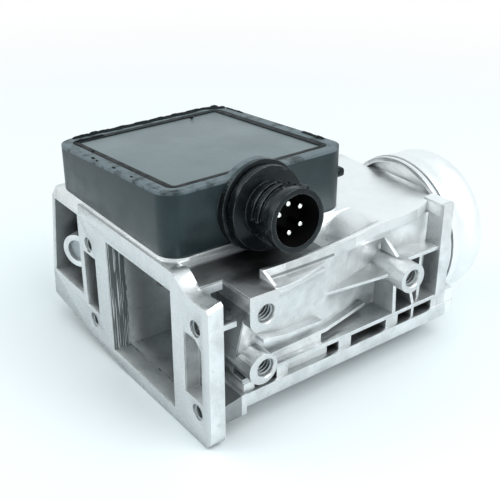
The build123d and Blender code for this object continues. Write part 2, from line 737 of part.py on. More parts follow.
def meter_body():
    """The die-cast body."""
    shell = main_block() + flange_plate() + deck_plate() + low_deck() + side_wall()
    shell += base_rail() + foot() + plug_side_bosses() + rear_corner() + wall_ribs()
    shell += outlet_spigot() + case_seat() + flange_tab()
    for x, y in COVER_SCREWS:
        shell += rod_z(x, y, COVER_BOSS_R, DUCT_FLOOR, DUCT_FLOOR + SCREW_TAP_DEPTH + 3)
    cores, under_side = pockets()
    shell = shell - cores - under_side
    shell += bypass_boss() - block(-90, 0, -20, 0.4, -60, 60)
    shell -= bypass_bore()
    for hollow in air_path():
        shell -= hollow
    shell = shell - deck_bevels() - plug_recess()
    shell -= rod_z(PIVOT_X, PIVOT_Y, BEARING_R, DUCT_ROOF - 1, DECK_TOP + 1)
    for x, y in COVER_SCREWS:
        shell -= rod_z(x, y, SCREW_R + FIT, DUCT_FLOOR - 5, DUCT_FLOOR + SCREW_TAP_DEPTH)
    for x, y in CASE_SCREWS:
        shell -= rod_z(x, y, SCREW_R + FIT, DECK_TOP - CASE_SCREW_GRIP, DECK_TOP + 1)
    shell -= rod_z(SENSOR_X, SENSOR_Y, SENSOR_R + FIT, DUCT_ROOF - 1, DECK_TOP + 1)
    for sx in (-1, 1):
        for sz in (-1, 1):
            shell -= rod_y(sx * BOLT_X, sz * BOLT_Z, BOLT_HOLE_R, -1, BOLT_DEPTH)
    for y, z in ((BOSS_HOLE_Y, BOSS_HIGH_Z), (BOSS_HOLE_Y, BOSS_LOW_Z), (BOSS_REAR_Y, BOSS_REAR_Z)):
        shell -= rod_x(y, z, BOSS_BORE_R, BOSS_FACE_X - BOSS_DEPTH, BOSS_FACE_X + 1)
        shell -= Pos(BOSS_FACE_X, y, z) * Rot(0, -90, 0) * Cone(BOSS_MOUTH_R, BOSS_BORE_R, 1.6)
    return shell


def bottom_cover():
    """Plate that closes the duct and the damping chamber below the flap."""
    low = DUCT_FLOOR - COVER_T
    plate = bottom_outline(0, low, DUCT_FLOOR)
    plate += rod_z(PIVOT_X, PIVOT_Y, LOWER_BOSS_R, LOWER_BOSS_BOTTOM, low + 0.5)
    for angle in (15, 50, 85, 120, 155):
        turn = Pos(PIVOT_X, PIVOT_Y, low - 0.6) * Rot(0, 0, angle)
        plate += turn * Pos(COVER_RIB_REACH / 2, 0, 0) * Box(COVER_RIB_REACH, 2.4, 2.0)
    plate -= rod_z(PIVOT_X, PIVOT_Y, BEARING_R, LOWER_BOSS_BOTTOM - 1, DUCT_FLOOR + 1)
    for x, y in COVER_SCREWS:
        plate -= rod_z(x, y, SCREW_R + 0.2, low - 1, DUCT_FLOOR + 1)
    return plate


def screw_up(x, y, head_z, length):
    """A socket screw whose head lies below head_z and whose shank points up."""
    head = rod_z(x, y, SCREW_HEAD_R, head_z - SCREW_HEAD_H, head_z)
    head = chamfer(head.edges().sort_by(Axis.Z)[0], 0.5)
    socket = Pos(x, y, head_z - SCREW_HEAD_H) * extrude(RegularPolygon(1.9, 6), amount=1.5)
    return head + rod_z(x, y, SCREW_R, head_z - 0.1, head_z + length) - socket


def screw_down(x, y, head_z, length, radius=SCREW_R, head_r=SCREW_HEAD_R):
    """A pan screw whose head lies on head_z and whose shank points down."""
    head = rod_z(x, y, head_r, head_z, head_z + SCREW_HEAD_H * 0.8)
    head = chamfer(head.edges().sort_by(Axis.Z)[-1], 0.5)
    slot = Pos(x, y, head_z + SCREW_HEAD_H * 0.8) * Box(head_r * 2.4, 0.8, 1.4)
    return head + rod_z(x, y, radius, head_z - length, head_z + 0.1) - slot


def bottom_cover_screws():
    """Screws of the bottom cover."""
    low = DUCT_FLOOR - COVER_T
    return Compound(children=[screw_up(x, y, low, COVER_T + SCREW_TAP_DEPTH - 1.5) for x, y in COVER_SCREWS])


def lower_bearing():
    """Bush in the bottom cover."""
    return tube_z(PIVOT_X, PIVOT_Y, BEARING_R - FIT, SHAFT_R + RUNNING_GAP, DUCT_FLOOR - 3.5, DUCT_FLOOR)


def shaft_washer():
    """Thrust washer on the lower bush."""
    return tube_z(PIVOT_X, PIVOT_Y, BEARING_R - 0.5, SHAFT_R + 0.15, DUCT_FLOOR, DUCT_FLOOR + 0.3)


def bearing_plug():
    """Cup plug that closes the lower bearing."""
    z0 = LOWER_BOSS_BOTTOM
    cup = rod_z(PIVOT_X, PIVOT_Y, BEARING_R - FIT, z0 + 0.2, DUCT_FLOOR - 4.0)
    return cup - rod_z(PIVOT_X, PIVOT_Y, BEARING_R - 1.2, z0 - 1, z0 + 0.9)


def upper_bearing():
    """Flanged bush in the deck whose neck carries the spring wheel."""
    bush = rod_z(PIVOT_X, PIVOT_Y, BEARING_R - FIT, DUCT_ROOF + 0.3, DECK_TOP)
    bush += rod_z(PIVOT_X, PIVOT_Y, BEARING_R + 2.5, DECK_TOP, DECK_TOP + 1.2)
    bush += rod_z(PIVOT_X, PIVOT_Y, BEARING_R - 0.6, DECK_TOP + 1, WHEEL_Z + WHEEL_T + 0.3)
    return bush - rod_z(PIVOT_X, PIVOT_Y, SHAFT_R + RUNNING_GAP, 0, 60)


def flap_shaft():
    """Spindle with its chamfered ends."""
    spindle = rod_z(PIVOT_X, PIVOT_Y, SHAFT_R, DUCT_FLOOR - 3.8, SHAFT_TOP)
    return chamfer(spindle.edges().filter_by(GeomType.CIRCLE), 0.5)


def vane(reach, angle):
    """One vane of the flap with its rim and stiffening ribs."""
    low = DUCT_FLOOR + FLAP_END_GAP
    high = DUCT_ROOF - FLAP_END_GAP
    mid = (low + high) / 2
    height = high - low
    plate = Pos(reach / 2, 0, mid) * Box(reach, FLAP_T, height)
    tip = plate.edges().filter_by(Axis.Z).sort_by(Axis.X)[-2:]
    plate = fillet(tip, FLAP_T * 0.4)
    panel_len = reach - HUB_R - 10
    panel = Pos(HUB_R + 5 + panel_len / 2, 0, mid) * Box(panel_len, 1.0, height - 9)
    side_y = FLAP_T / 2 if angle == 0 else -FLAP_T / 2
    plate -= Pos(0, side_y, 0) * panel
    for k in (-1, 1):
        plate += Pos(HUB_R + 4 + panel_len / 2, side_y * 0.5, mid + k * height / 6) * Box(panel_len, FLAP_T * 0.5, 2.0)
    return Pos(PIVOT_X, PIVOT_Y, 0) * Rot(0, 0, angle) * plate


FLAP_SCREW_Z = (-16.0, 17.0)


def flap():
    """Sensor vane, damping vane and hub, cast as one."""
    low = DUCT_FLOOR + FLAP_END_GAP
    high = DUCT_ROOF - FLAP_END_GAP
    body = rod_z(PIVOT_X, PIVOT_Y, HUB_R, low, high) + vane(SENSOR_REACH, 0) + vane(DAMPER_REACH, 90)
    for z in (low + 9, (low + high) / 2, high - 9):
        body += plan(
            [
                (PIVOT_X, PIVOT_Y),
                (PIVOT_X + 17, PIVOT_Y),
                (PIVOT_X + 9, PIVOT_Y + 9),
                (PIVOT_X, PIVOT_Y + 17),
            ],
            z - 1.1,
            z + 1.1,
        )
    body -= rod_z(PIVOT_X, PIVOT_Y, SHAFT_R + 0.03, low - 1, high + 1)
    for z in FLAP_SCREW_Z:
        body -= along((PIVOT_X, PIVOT_Y, z), (-1, -1, 0), 1.3, HUB_R + 2)
    return body


def flap_screws():
    """Grub screws that clamp the flap to its spindle."""
    parts = []
    for z in FLAP_SCREW_Z:
        screw = along((PIVOT_X, PIVOT_Y, z), (-1, -1, 0), 1.25, HUB_R - SHAFT_R - 0.35, SHAFT_R + 0.1)
        parts.append(screw - along((PIVOT_X, PIVOT_Y, z), (-1, -1, 0), 0.6, 2, HUB_R - 1.3))
    return Compound(children=parts)


def bypass_screw():
    """Air bypass screw with its seal groove and needle tip."""
    start = 6.0
    length = 10.0
    body = along(BYPASS_AT, BYPASS_IN, BYPASS_BORE_R - FIT, length, start)
    body += along(BYPASS_AT, BYPASS_IN, BYPASS_PASSAGE_R - 0.3, 4.0, start + length - 0.2)
    groove = along(BYPASS_AT, BYPASS_IN, BYPASS_BORE_R + 1, 2.0, start + 3)
    body -= groove - along(BYPASS_AT, BYPASS_IN, BYPASS_BORE_R - 1.5, 2.4, start + 2.8)
    slot = Plane(origin=BYPASS_AT, z_dir=BYPASS_IN) * Pos(0, 0, start) * Box(14, 1.4, 3.0)
    return body - slot


def bypass_seal_ring():
    """Rubber ring in the bypass screw's groove."""
    outer = along(BYPASS_AT, BYPASS_IN, BYPASS_BORE_R - FIT, 1.7, 9.15)
    return outer - along(BYPASS_AT, BYPASS_IN, BYPASS_BORE_R - 1.45, 4, 8)


def tamper_plug():
    """Shallow cup pressed over the bypass screw."""
    cup = along(BYPASS_AT, BYPASS_IN, BYPASS_BORE_R - FIT, 3.4, 1.6)
    return cup - along(BYPASS_AT, BYPASS_IN, BYPASS_BORE_R - 1.0, 2.4, 3.0)


def temperature_sensor():
    """Air temperature sensor that hangs from the inlet roof."""
    top = DECK_TOP + CASE_FLOOR_T
    body = rod_z(SENSOR_X, SENSOR_Y, SENSOR_R, DUCT_ROOF - SENSOR_DROP + 6, top)
    body += rod_z(SENSOR_X, SENSOR_Y, SENSOR_FLANGE_R, top, top + 1.5)
    body += rod_z(SENSOR_X, SENSOR_Y, 1.8, DUCT_ROOF - SENSOR_DROP, DUCT_ROOF - SENSOR_DROP + 7)
    cage = rod_z(SENSOR_X, SENSOR_Y, SENSOR_R, DUCT_ROOF - SENSOR_DROP - 1.5, DUCT_ROOF - SENSOR_DROP + 6)
    cage -= rod_z(SENSOR_X, SENSOR_Y, SENSOR_R - 0.9, DUCT_ROOF - SENSOR_DROP - 0.3, DUCT_ROOF - SENSOR_DROP + 6)
    for angle in (0, 60, 120):
        window = Pos(SENSOR_X, SENSOR_Y, DUCT_ROOF - SENSOR_DROP + 2.6) * Rot(0, 0, angle)
        cage -= window * Box(2 * SENSOR_R + 2, 2.2, 5.0)
    return body + cage


LEAD_X1 = CASE_X1 - 9.0
LEAD_GAP = 1.3


def temperature_sensor_leads():
    """Two flat leads from the temperature sensor along the case floor."""
    top = DECK_TOP + CASE_FLOOR_T + 1.5
    parts = []
    for k in (-1, 1):
        x = SENSOR_X + k * LEAD_GAP
        y = PLUG_Y + k * LEAD_GAP - 6.0
        post = block(x - 0.4, x + 0.4, SENSOR_Y - 0.4, SENSOR_Y + 0.4, top, top + 1.6)
        run = plan(
            [(x - 0.4, SENSOR_Y - 0.4), (x + 0.4, SENSOR_Y - 0.4), (LEAD_X1 + 0.4, y), (LEAD_X1 - 0.4, y + 0.8)],
            top + 1.2,
            top + 1.6,
        )
        riser = block(LEAD_X1 - 0.6, LEAD_X1 + 0.2, y, y + 0.8, top + 1.2, PLUG_Z - 4.5)
        parts.append(post + run + riser)
    return Compound(children=parts)


# The potentiometer box
CASE_MID_X = (CASE_X0 + CASE_X1) / 2
CASE_MID_Y = (CASE_Y0 + CASE_Y1) / 2
TILT = radians(CASE_TILT)
RIM_PLANE = Plane(
    origin=(CASE_MID_X, CASE_MID_Y, DECK_TOP + CASE_MID_H),
    x_dir=(cos(TILT), 0, sin(TILT)),
    z_dir=(-sin(TILT), 0, cos(TILT)),
)
CASE_SCREW_INSET = 10.5
CASE_SCREW_GRIP = 5.0
CASE_SCREWS = [
    (CASE_X0 + CASE_SCREW_INSET, CASE_Y0 + CASE_SCREW_INSET),
    (CASE_X0 + CASE_SCREW_INSET, CASE_Y1 - CASE_SCREW_INSET),
    (CASE_X1 - CASE_SCREW_INSET, CASE_Y0 + CASE_SCREW_INSET),
    (CASE_X1 - CASE_SCREW_INSET, CASE_Y1 - CASE_SCREW_INSET),
]
LEDGE_INSET = RIM_WIDTH + GROOVE_W + LID_LEDGE


def above(depth):
    """The space above a plane that lies depth under the case rim."""
    return RIM_PLANE * Pos(0, 0, 30 - depth) * Box(200, 200, 60)


def case_prism(inset, z0, z1):
    """The case outline, moved in by inset, as a prism."""
    corner = max(CASE_CORNER_R - inset, 1.5)
    outline = RectangleRounded(CASE_X1 - CASE_X0 - 2 * inset, CASE_Y1 - CASE_Y0 - 2 * inset, corner)
    return Pos(CASE_MID_X, CASE_MID_Y, z0) * extrude(outline, amount=z1 - z0)


PLUG_AXIS = (cos(TILT), 0, sin(TILT))
PLUG_PLANE = Plane(origin=(CASE_X1, PLUG_Y, PLUG_Z), x_dir=(0, 1, 0), z_dir=PLUG_AXIS)


def plug_rod(radius, a, b):
    """A round bar on the plug axis between two distances from the case wall."""
    return PLUG_PLANE * Pos(0, 0, (a + b) / 2) * Cylinder(radius, b - a)


def plug_socket():
    """Round plug barrel with its collars and its interrupted bayonet ribs."""
    back = -CASE_WALL - 1.5
    barrel = plug_rod(PLUG_BASE_R, back + 3, 3.6) + plug_rod(PLUG_RING_R - 1.4, 3.4, 5.2)
    barrel += plug_rod(PLUG_RING_R, 5.0, 8.4) + plug_rod(PLUG_BARREL_R, 8, PLUG_LENGTH)
    ribs = plug_rod(PLUG_RIB_R, 12.4, 14.0) + plug_rod(PLUG_RIB_R, 16.0, 17.6)
    for angle in (75, 195, 315):
        ribs -= PLUG_PLANE * Rot(0, 0, angle) * Pos(PLUG_BARREL_R, 0, 15) * Box(6, 6.5, 8)
    barrel += ribs + plug_rod(PLUG_RIB_R, 21.4, PLUG_LENGTH)
    barrel = barrel + PLUG_PLANE * Rot(0, 0, 67) * Pos(PLUG_RIB_R, 0, PLUG_LENGTH - 2) * Box(2.2, 1.8, 4)
    barrel -= PLUG_PLANE * Rot(0, 0, 60) * Pos(PLUG_RING_R, 0, 7) * Box(1.6, 1.6, 3.4)
    rim_x = CASE_X1 + SEAT_EDGE + 0.1
    barrel -= block(CASE_X1 - 10, rim_x, 0, 90, 0, DECK_TOP + SEAT_RISE + 0.1)
    return barrel - block(rim_x - 0.1, 70, 0, 90, 0, LOW_DECK_TOP + 0.4)


def case():
    """Potentiometer box with its floor, posts and plug socket, moulded as one."""
    floor_top = DECK_TOP + CASE_FLOOR_T
    ledge_depth = LID_SINK + LID_T
    shell = case_prism(0, DECK_TOP, 80) - above(0)
    foot_top = DECK_TOP + SEAT_RISE + 0.1
    shell -= case_prism(0, DECK_TOP - 1, foot_top) - case_prism(SEAT_INSET + FIT, DECK_TOP - 2, foot_top + 1)
    shell += plug_socket()
    cavity = case_prism(CASE_WALL, floor_top, 80) - above(ledge_depth + 2.5)
    shell -= cavity
    shell -= case_prism(LEDGE_INSET, floor_top + 5, 80)
    shell -= case_prism(RIM_WIDTH, floor_top + 5, 90) & above(ledge_depth)
    shell -= plug_rod(PLUG_BORE_R, INSERT_BACK, PLUG_LENGTH + 2)
    shell -= plug_rod(PLUG_BASE_R - 3.0, -20, -CASE_WALL - 0.1) & case_prism(CASE_WALL, floor_top, 80)
    for x, y in pin_places():
        shell -= PLUG_PLANE * Pos(x, y, 0) * Cylinder(PIN_R + FIT, 14)
    for x, y in CASE_SCREWS:
        shell -= rod_z(x, y, SCREW_R + 0.2, DECK_TOP - 1, floor_top + 1)
    shell -= rod_z(PIVOT_X, PIVOT_Y, BEARING_R + 2.5 + 1.0, DECK_TOP - 1, floor_top + 1)
    shell -= rod_z(SENSOR_X, SENSOR_Y, SENSOR_R + FIT, DECK_TOP - 1, floor_top + 1)
    for x, y in board_posts():
        post = rod_z(x, y, 2.6, floor_top - 0.5, BOARD_TOP - BOARD_T)
        shell += post - rod_z(x, y, 1.1, BOARD_TOP - 8, BOARD_TOP)
    for x, y in stop_places():
        shell += rod_z(x, y, STOP_POST_R, floor_top - 0.5, BALANCE_Z + BALANCE_T + 0.5)
        shell += rod_z(x, y, STOP_R + 0.3, floor_top - 0.5, BALANCE_Z - 0.8)
    lock = rod_z(LOCK_X, PIVOT_Y, 3.4, floor_top - 0.5, LOCK_Z)
    return shell + lock - rod_z(LOCK_X, PIVOT_Y, 1.3, floor_top, LOCK_Z + 1)


def pin_places():
    """Where the pins stand in the plug plane."""
    return [(PIN_CIRCLE_R * cos(radians(a)), PIN_CIRCLE_R * sin(radians(a))) for a in PIN_ANGLES]


def board_posts():
    """Where the board's posts stand."""
    x = BOARD_HALF_X - 4.0
    return [
        (PIVOT_X + sx * x, PIVOT_Y + y) for sx in (-1, 1) for y in (BOARD_Y0 + 3.0, BOARD_Y1 - 3.0)
    ]


def stop_places():
    """Where the two stops stand, just past the counterweight's travel."""
    half = degrees(atan2(STOP_R + STOP_GAP, STOP_RING_R)) + BALANCE_HALF
    angles = (BALANCE_ANGLE - half, BALANCE_ANGLE + FLAP_TRAVEL + half)
    return [
        (PIVOT_X + STOP_RING_R * cos(radians(a)), PIVOT_Y + STOP_RING_R * sin(radians(a))) for a in angles
    ]


def lid():
    """Flat lid that lies on the ledge inside the rim."""
    slab = case_prism(RIM_WIDTH + GROOVE_W, DECK_TOP, 90) & above(LID_SINK + LID_T)
    return slab - above(LID_SINK)


def lid_sealant():
    """Sealing compound in the groove round the lid."""
    ring = case_prism(RIM_WIDTH + FIT, DECK_TOP, 90) - case_prism(RIM_WIDTH + GROOVE_W - FIT, 0, 100)
    return (ring & above(LID_SINK + LID_T)) - above(0.9)


def case_screws():
    """Screws through the case floor into the deck."""
    floor_top = DECK_TOP + CASE_FLOOR_T
    return Compound(
        children=[screw_down(x, y, floor_top, CASE_FLOOR_T + CASE_SCREW_GRIP - 0.5) for x, y in CASE_SCREWS]
    )


def connector_insert():
    """Block that holds the pins inside the plug socket."""
    insert = plug_rod(PLUG_BORE_R - FIT, INSERT_BACK, INSERT_FRONT)
    for x, y in pin_places():
        insert -= PLUG_PLANE * Pos(x, y, 10) * Cylinder(PIN_R + FIT, 40)
    return insert


def connector_pins():
    """Five round pins with rounded tips."""
    pins = []
    tip = PLUG_LENGTH - PIN_TIP_DEPTH
    for x, y in pin_places():
        pin = Pos(x, y, tip - PIN_LENGTH / 2) * Cylinder(PIN_R, PIN_LENGTH)
        pin = fillet(pin.edges().sort_by(Axis.Z)[-1], PIN_R * 0.6)
        pins.append(PLUG_PLANE * pin)
    return Compound(children=pins)


def stop_bumpers():
    """Rubber sleeves on the two stop posts."""
    z0 = BALANCE_Z - 0.7
    z1 = BALANCE_Z + BALANCE_T + 0.4
    return Compound(children=[tube_z(x, y, STOP_R, STOP_POST_R + FIT, z0, z1) for x, y in stop_places()])


# The mechanism under the lid
LOCK_X = PIVOT_X + WHEEL_R + 9.0
LOCK_Z = WHEEL_Z


def spring_wheel():
    """Toothed wheel that sets the spring's preload."""
    points = []
    for i in range(2 * WHEEL_TEETH):
        r = WHEEL_R if i % 2 == 0 else WHEEL_R - WHEEL_TOOTH
        a = pi * (i + 1) / WHEEL_TEETH
        points.append((PIVOT_X + r * cos(a), PIVOT_Y + r * sin(a)))
    wheel = plan(points, WHEEL_Z, WHEEL_Z + WHEEL_T)
    peg_r = spring_end()
    wheel += rod_z(PIVOT_X + peg_r, PIVOT_Y, 1.2, WHEEL_Z, SPRING_Z + SPRING_W + 0.3)
    for angle in range(30, 360, 60):
        a = radians(angle)
        wheel -= rod_z(PIVOT_X + 12.5 * cos(a), PIVOT_Y + 12.5 * sin(a), 3.6, WHEEL_Z - 1, WHEEL_Z + WHEEL_T + 1)
    return wheel - rod_z(PIVOT_X, PIVOT_Y, BEARING_R - 0.6 + FIT, WHEEL_Z - 1, WHEEL_Z + WHEEL_T + 1)


def spring_end():
    """Distance of the wheel's peg from the spindle, just outside the spring's last turn."""
    return COLLET_R + 0.35 + SPRING_PITCH * SPRING_TURNS + SPRING_T + 1.2 + FIT


def return_spring():
    """Flat spiral spring, made of half turns of growing radius."""
    inner = []
    outer = []
    for k in range(2 * SPRING_TURNS):
        r = COLLET_R + 0.35 + k * SPRING_PITCH / 2
        c = PIVOT_X + (0 if k % 2 == 0 else SPRING_PITCH / 2)
        s = 1 if k % 2 == 0 else -1
        for rows, radius in ((inner, r), (outer, r + SPRING_T)):
            rows.append(
                ThreePointArc(
                    (c + s * radius, PIVOT_Y),
                    (c, PIVOT_Y + s * radius),
                    (c - s * radius, PIVOT_Y),
                )
            )
    start = Line(outer[0] @ 0, inner[0] @ 0)
    end = Line(inner[-1] @ 1, outer[-1] @ 1)
    outline = Curve() + [start, end] + inner + outer
    return Pos(0, 0, SPRING_Z) * extrude(make_face(outline), amount=SPRING_W, dir=(0, 0, 1))


def spring_collet():
    """Collet on the spindle that holds the spring's inner end."""
    return tube_z(PIVOT_X, PIVOT_Y, COLLET_R, SHAFT_R + 0.03, SPRING_Z - 0.1, BALANCE_Z - FACE_GAP)


def spring_lock():
    """Clip whose nose sits between two teeth of the spring wheel."""
    tip = PIVOT_X + WHEEL_R - WHEEL_TOOTH * 0.4
    clip = plan(
        [
            (tip, PIVOT_Y - 0.25),
            (PIVOT_X + WHEEL_R + 1.2, PIVOT_Y - 1.0),
            (PIVOT_X + WHEEL_R + 3.0, PIVOT_Y - 3.0),
            (LOCK_X + 3.4, PIVOT_Y - 3.0),
            (LOCK_X + 3.4, PIVOT_Y + 3.0),
            (PIVOT_X + WHEEL_R + 3.0, PIVOT_Y + 3.0),
            (PIVOT_X + WHEEL_R + 1.2, PIVOT_Y + 1.0),
            (tip, PIVOT_Y + 0.25),
        ],
        LOCK_Z,
        LOCK_Z + 1.2,
    )
    return clip - rod_z(LOCK_X, PIVOT_Y, 1.4, LOCK_Z - 1, LOCK_Z + 3)


def spring_lock_screw():
    """Screw of the clip."""
    return screw_down(LOCK_X, PIVOT_Y, LOCK_Z + 1.2, 1.9, 1.2, 2.6)


def counterweight():
    """Balance arm and weight opposite the two vanes."""
    z1 = BALANCE_Z + BALANCE_T
    a0 = BALANCE_ANGLE - BALANCE_HALF
    a1 = BALANCE_ANGLE + BALANCE_HALF
    weight = sector(BALANCE_R, a0, a1, BALANCE_Z, z1) - rod_z(PIVOT_X, PIVOT_Y, 17, BALANCE_Z - 1, z1 + 1)
    arm = Pos(PIVOT_X, PIVOT_Y, BALANCE_Z + 1.5) * Rot(0, 0, BALANCE_ANGLE) * Pos(9.5, 0, 0) * Box(19, 7, 3.0)
    body = weight + arm + rod_z(PIVOT_X, PIVOT_Y, 7.0, BALANCE_Z, z1)
    body -= rod_z(PIVOT_X, PIVOT_Y, SHAFT_R + 0.03, BALANCE_Z - 1, z1 + 1)
    where = (PIVOT_X + 23.5 * cos(radians(BALANCE_ANGLE)), PIVOT_Y + 23.5 * sin(radians(BALANCE_ANGLE)))
    return body - rod_z(where[0], where[1], 2.0 + FIT, z1 - 2.5, z1 + 1)


def counterweight_screw():
    """Trim screw in the weight."""
    z1 = BALANCE_Z + BALANCE_T
    a = radians(BALANCE_ANGLE)
    x = PIVOT_X + 23.5 * cos(a)
    y = PIVOT_Y + 23.5 * sin(a)
    screw = rod_z(x, y, 2.0, z1 - 2.5, z1 + 1.0)
    return screw - Pos(x, y, z1 + 1.0) * Box(6, 0.7, 1.2)


def wiper_hub():
    """Plastic hub on the spindle that carries the wiper."""
    return tube_z(PIVOT_X, PIVOT_Y, 5.2, SHAFT_R + 0.03, BALANCE_Z + BALANCE_T, SHAFT_TOP - 0.6) - tube_z(
        PIVOT_X, PIVOT_Y, 8, 4.2, WIPER_Z, WIPER_Z + WIPER_T
    )


def wiper_arm():
    """Leaf that carries the wiper contacts over the board."""
    ring = tube_z(PIVOT_X, PIVOT_Y, 5.8, 4.2 + FIT, WIPER_Z, WIPER_Z + WIPER_T)
    turn = Pos(PIVOT_X, PIVOT_Y, WIPER_Z + WIPER_T / 2) * Rot(0, 0, WIPER_ANGLE)
    reach = TRACK_RADII[1] + 2.0
    leaf = turn * Pos((reach + 5.2) / 2, 0, 0) * Box(reach - 5.2, 4.2, WIPER_T)
    leaf -= turn * Pos(reach - 7, 0, 0) * Box(15, 0.8, 2)
    return ring + leaf


def wiper_contacts():
    """Two contact fingers under the wiper."""
    parts = []
    for r in TRACK_RADII:
        for k in (-1.2, 1.2):
            turn = Pos(PIVOT_X, PIVOT_Y, 0) * Rot(0, 0, WIPER_ANGLE) * Pos(r, k, 0)
            low = BOARD_TOP + TRACK_T + FACE_GAP
            parts.append(turn * Pos(0, 0, (low + WIPER_Z) / 2) * Box(1.2, 0.9, WIPER_Z - low))
    return Compound(children=parts)


def potentiometer_board():
    """Ceramic plate on four posts."""
    x = BOARD_HALF_X
    board = block(PIVOT_X - x, PIVOT_X + x, PIVOT_Y + BOARD_Y0, PIVOT_Y + BOARD_Y1, BOARD_TOP - BOARD_T, BOARD_TOP)
    for px, py in board_posts():
        board -= rod_z(px, py, 1.4, BOARD_TOP - 3, BOARD_TOP + 1)
    return board


def potentiometer_track():
    """Printed resistor arcs on the board."""
    arcs = []
    z0 = BOARD_TOP
    for r in TRACK_RADII:
        ring = sector(r + TRACK_W / 2, WIPER_ANGLE - 8, WIPER_ANGLE + FLAP_TRAVEL + 8, z0, z0 + TRACK_T)
        arcs.append(ring - rod_z(PIVOT_X, PIVOT_Y, r - TRACK_W / 2, z0 - 1, z0 + 1))
    return Compound(children=arcs)


def board_screws():
    """Screws of the potentiometer board."""
    grip = BOARD_T + BOARD_SCREW_BITE
    return Compound(children=[screw_down(x, y, BOARD_TOP, grip, 1.05, 2.2) for x, y in board_posts()])


def lead_strip():
    """Flat leads between the board and the pins."""
    strips = []
    x0 = PIVOT_X + BOARD_HALF_X - 2.5
    x1 = CASE_X1 - 7.5
    z0 = BOARD_TOP + FIT
    for k in range(5):
        y0 = PIVOT_Y + BOARD_Y0 + 6.5 + 3.4 * k
        y1 = PLUG_Y - 4.4 + 2.2 * k
        strips.append(plan([(x0, y0), (x0, y0 + 1.2), (x1, y1 + 1.0), (x1, y1)], z0, z0 + 0.4))
    return Compound(children=strips)


PARTS = [
    meter_body,
    bottom_cover,
    bottom_cover_screws,
    lower_bearing,
    shaft_washer,
    bearing_plug,
    upper_bearing,
    flap_shaft,
    flap,
    flap_screws,
    bypass_screw,
    bypass_seal_ring,
    tamper_plug,
    temperature_sensor,
    temperature_sensor_leads,
    case,
    lid,
    lid_sealant,
    case_screws,
    connector_insert,
    connector_pins,
    stop_bumpers,
    spring_wheel,
    return_spring,
    spring_collet,
    spring_lock,
    spring_lock_screw,
    counterweight,
    counterweight_screw,
    wiper_hub,
    wiper_arm,
    wiper_contacts,
    potentiometer_board,
    potentiometer_track,
    board_screws,
    lead_strip,
]


if __name__ == "__main__":
    os.makedirs("parts", exist_ok=True)
    for make in PARTS:
        save(make.__name__, make())
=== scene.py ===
"""Studio scene for a vane type air flow meter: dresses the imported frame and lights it."""

import logging
import math
from collections.abc import Iterator
from contextlib import contextmanager
from dataclasses import dataclass
from enum import Enum
from functools import cache, partial

import bpy
from mathutils import Matrix, Vector


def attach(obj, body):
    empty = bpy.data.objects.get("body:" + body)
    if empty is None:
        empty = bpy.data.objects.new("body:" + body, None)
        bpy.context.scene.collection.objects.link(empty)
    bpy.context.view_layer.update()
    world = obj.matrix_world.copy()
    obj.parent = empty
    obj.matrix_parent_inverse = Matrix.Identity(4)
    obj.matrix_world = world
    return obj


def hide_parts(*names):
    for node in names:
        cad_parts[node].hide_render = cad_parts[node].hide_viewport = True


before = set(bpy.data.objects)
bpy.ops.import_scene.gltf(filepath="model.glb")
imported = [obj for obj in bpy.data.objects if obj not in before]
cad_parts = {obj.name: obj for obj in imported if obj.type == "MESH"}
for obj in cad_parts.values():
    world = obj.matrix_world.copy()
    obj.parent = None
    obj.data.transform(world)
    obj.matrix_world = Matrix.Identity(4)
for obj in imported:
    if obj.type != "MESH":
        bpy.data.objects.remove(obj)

LOG = logging.getLogger("air_meter")
MM = 0.001
HOUSING = "housing"

Colour = tuple[float, float, float]
Point = tuple[float, float, float]
Span = tuple[float, float]
Socket = bpy.types.NodeSocket
Node = bpy.types.Node
Tree = bpy.types.NodeTree
Piece = bpy.types.Object

WHITE: Colour = (1.0, 1.0, 1.0)
TILT = math.radians(4.6)  # how far the box's top and its plug lean
RIM_MM = 60.95  # height of the box's rim at x = 0
SOCKET_AT: Point = (21.6, 41.8, 49.7)  # where the plug's axis leaves the box


def metres(point: Point) -> Vector:
    """Returns a point given in millimetres as a vector in metres."""
    return Vector(point) * MM


# ---- shader tools


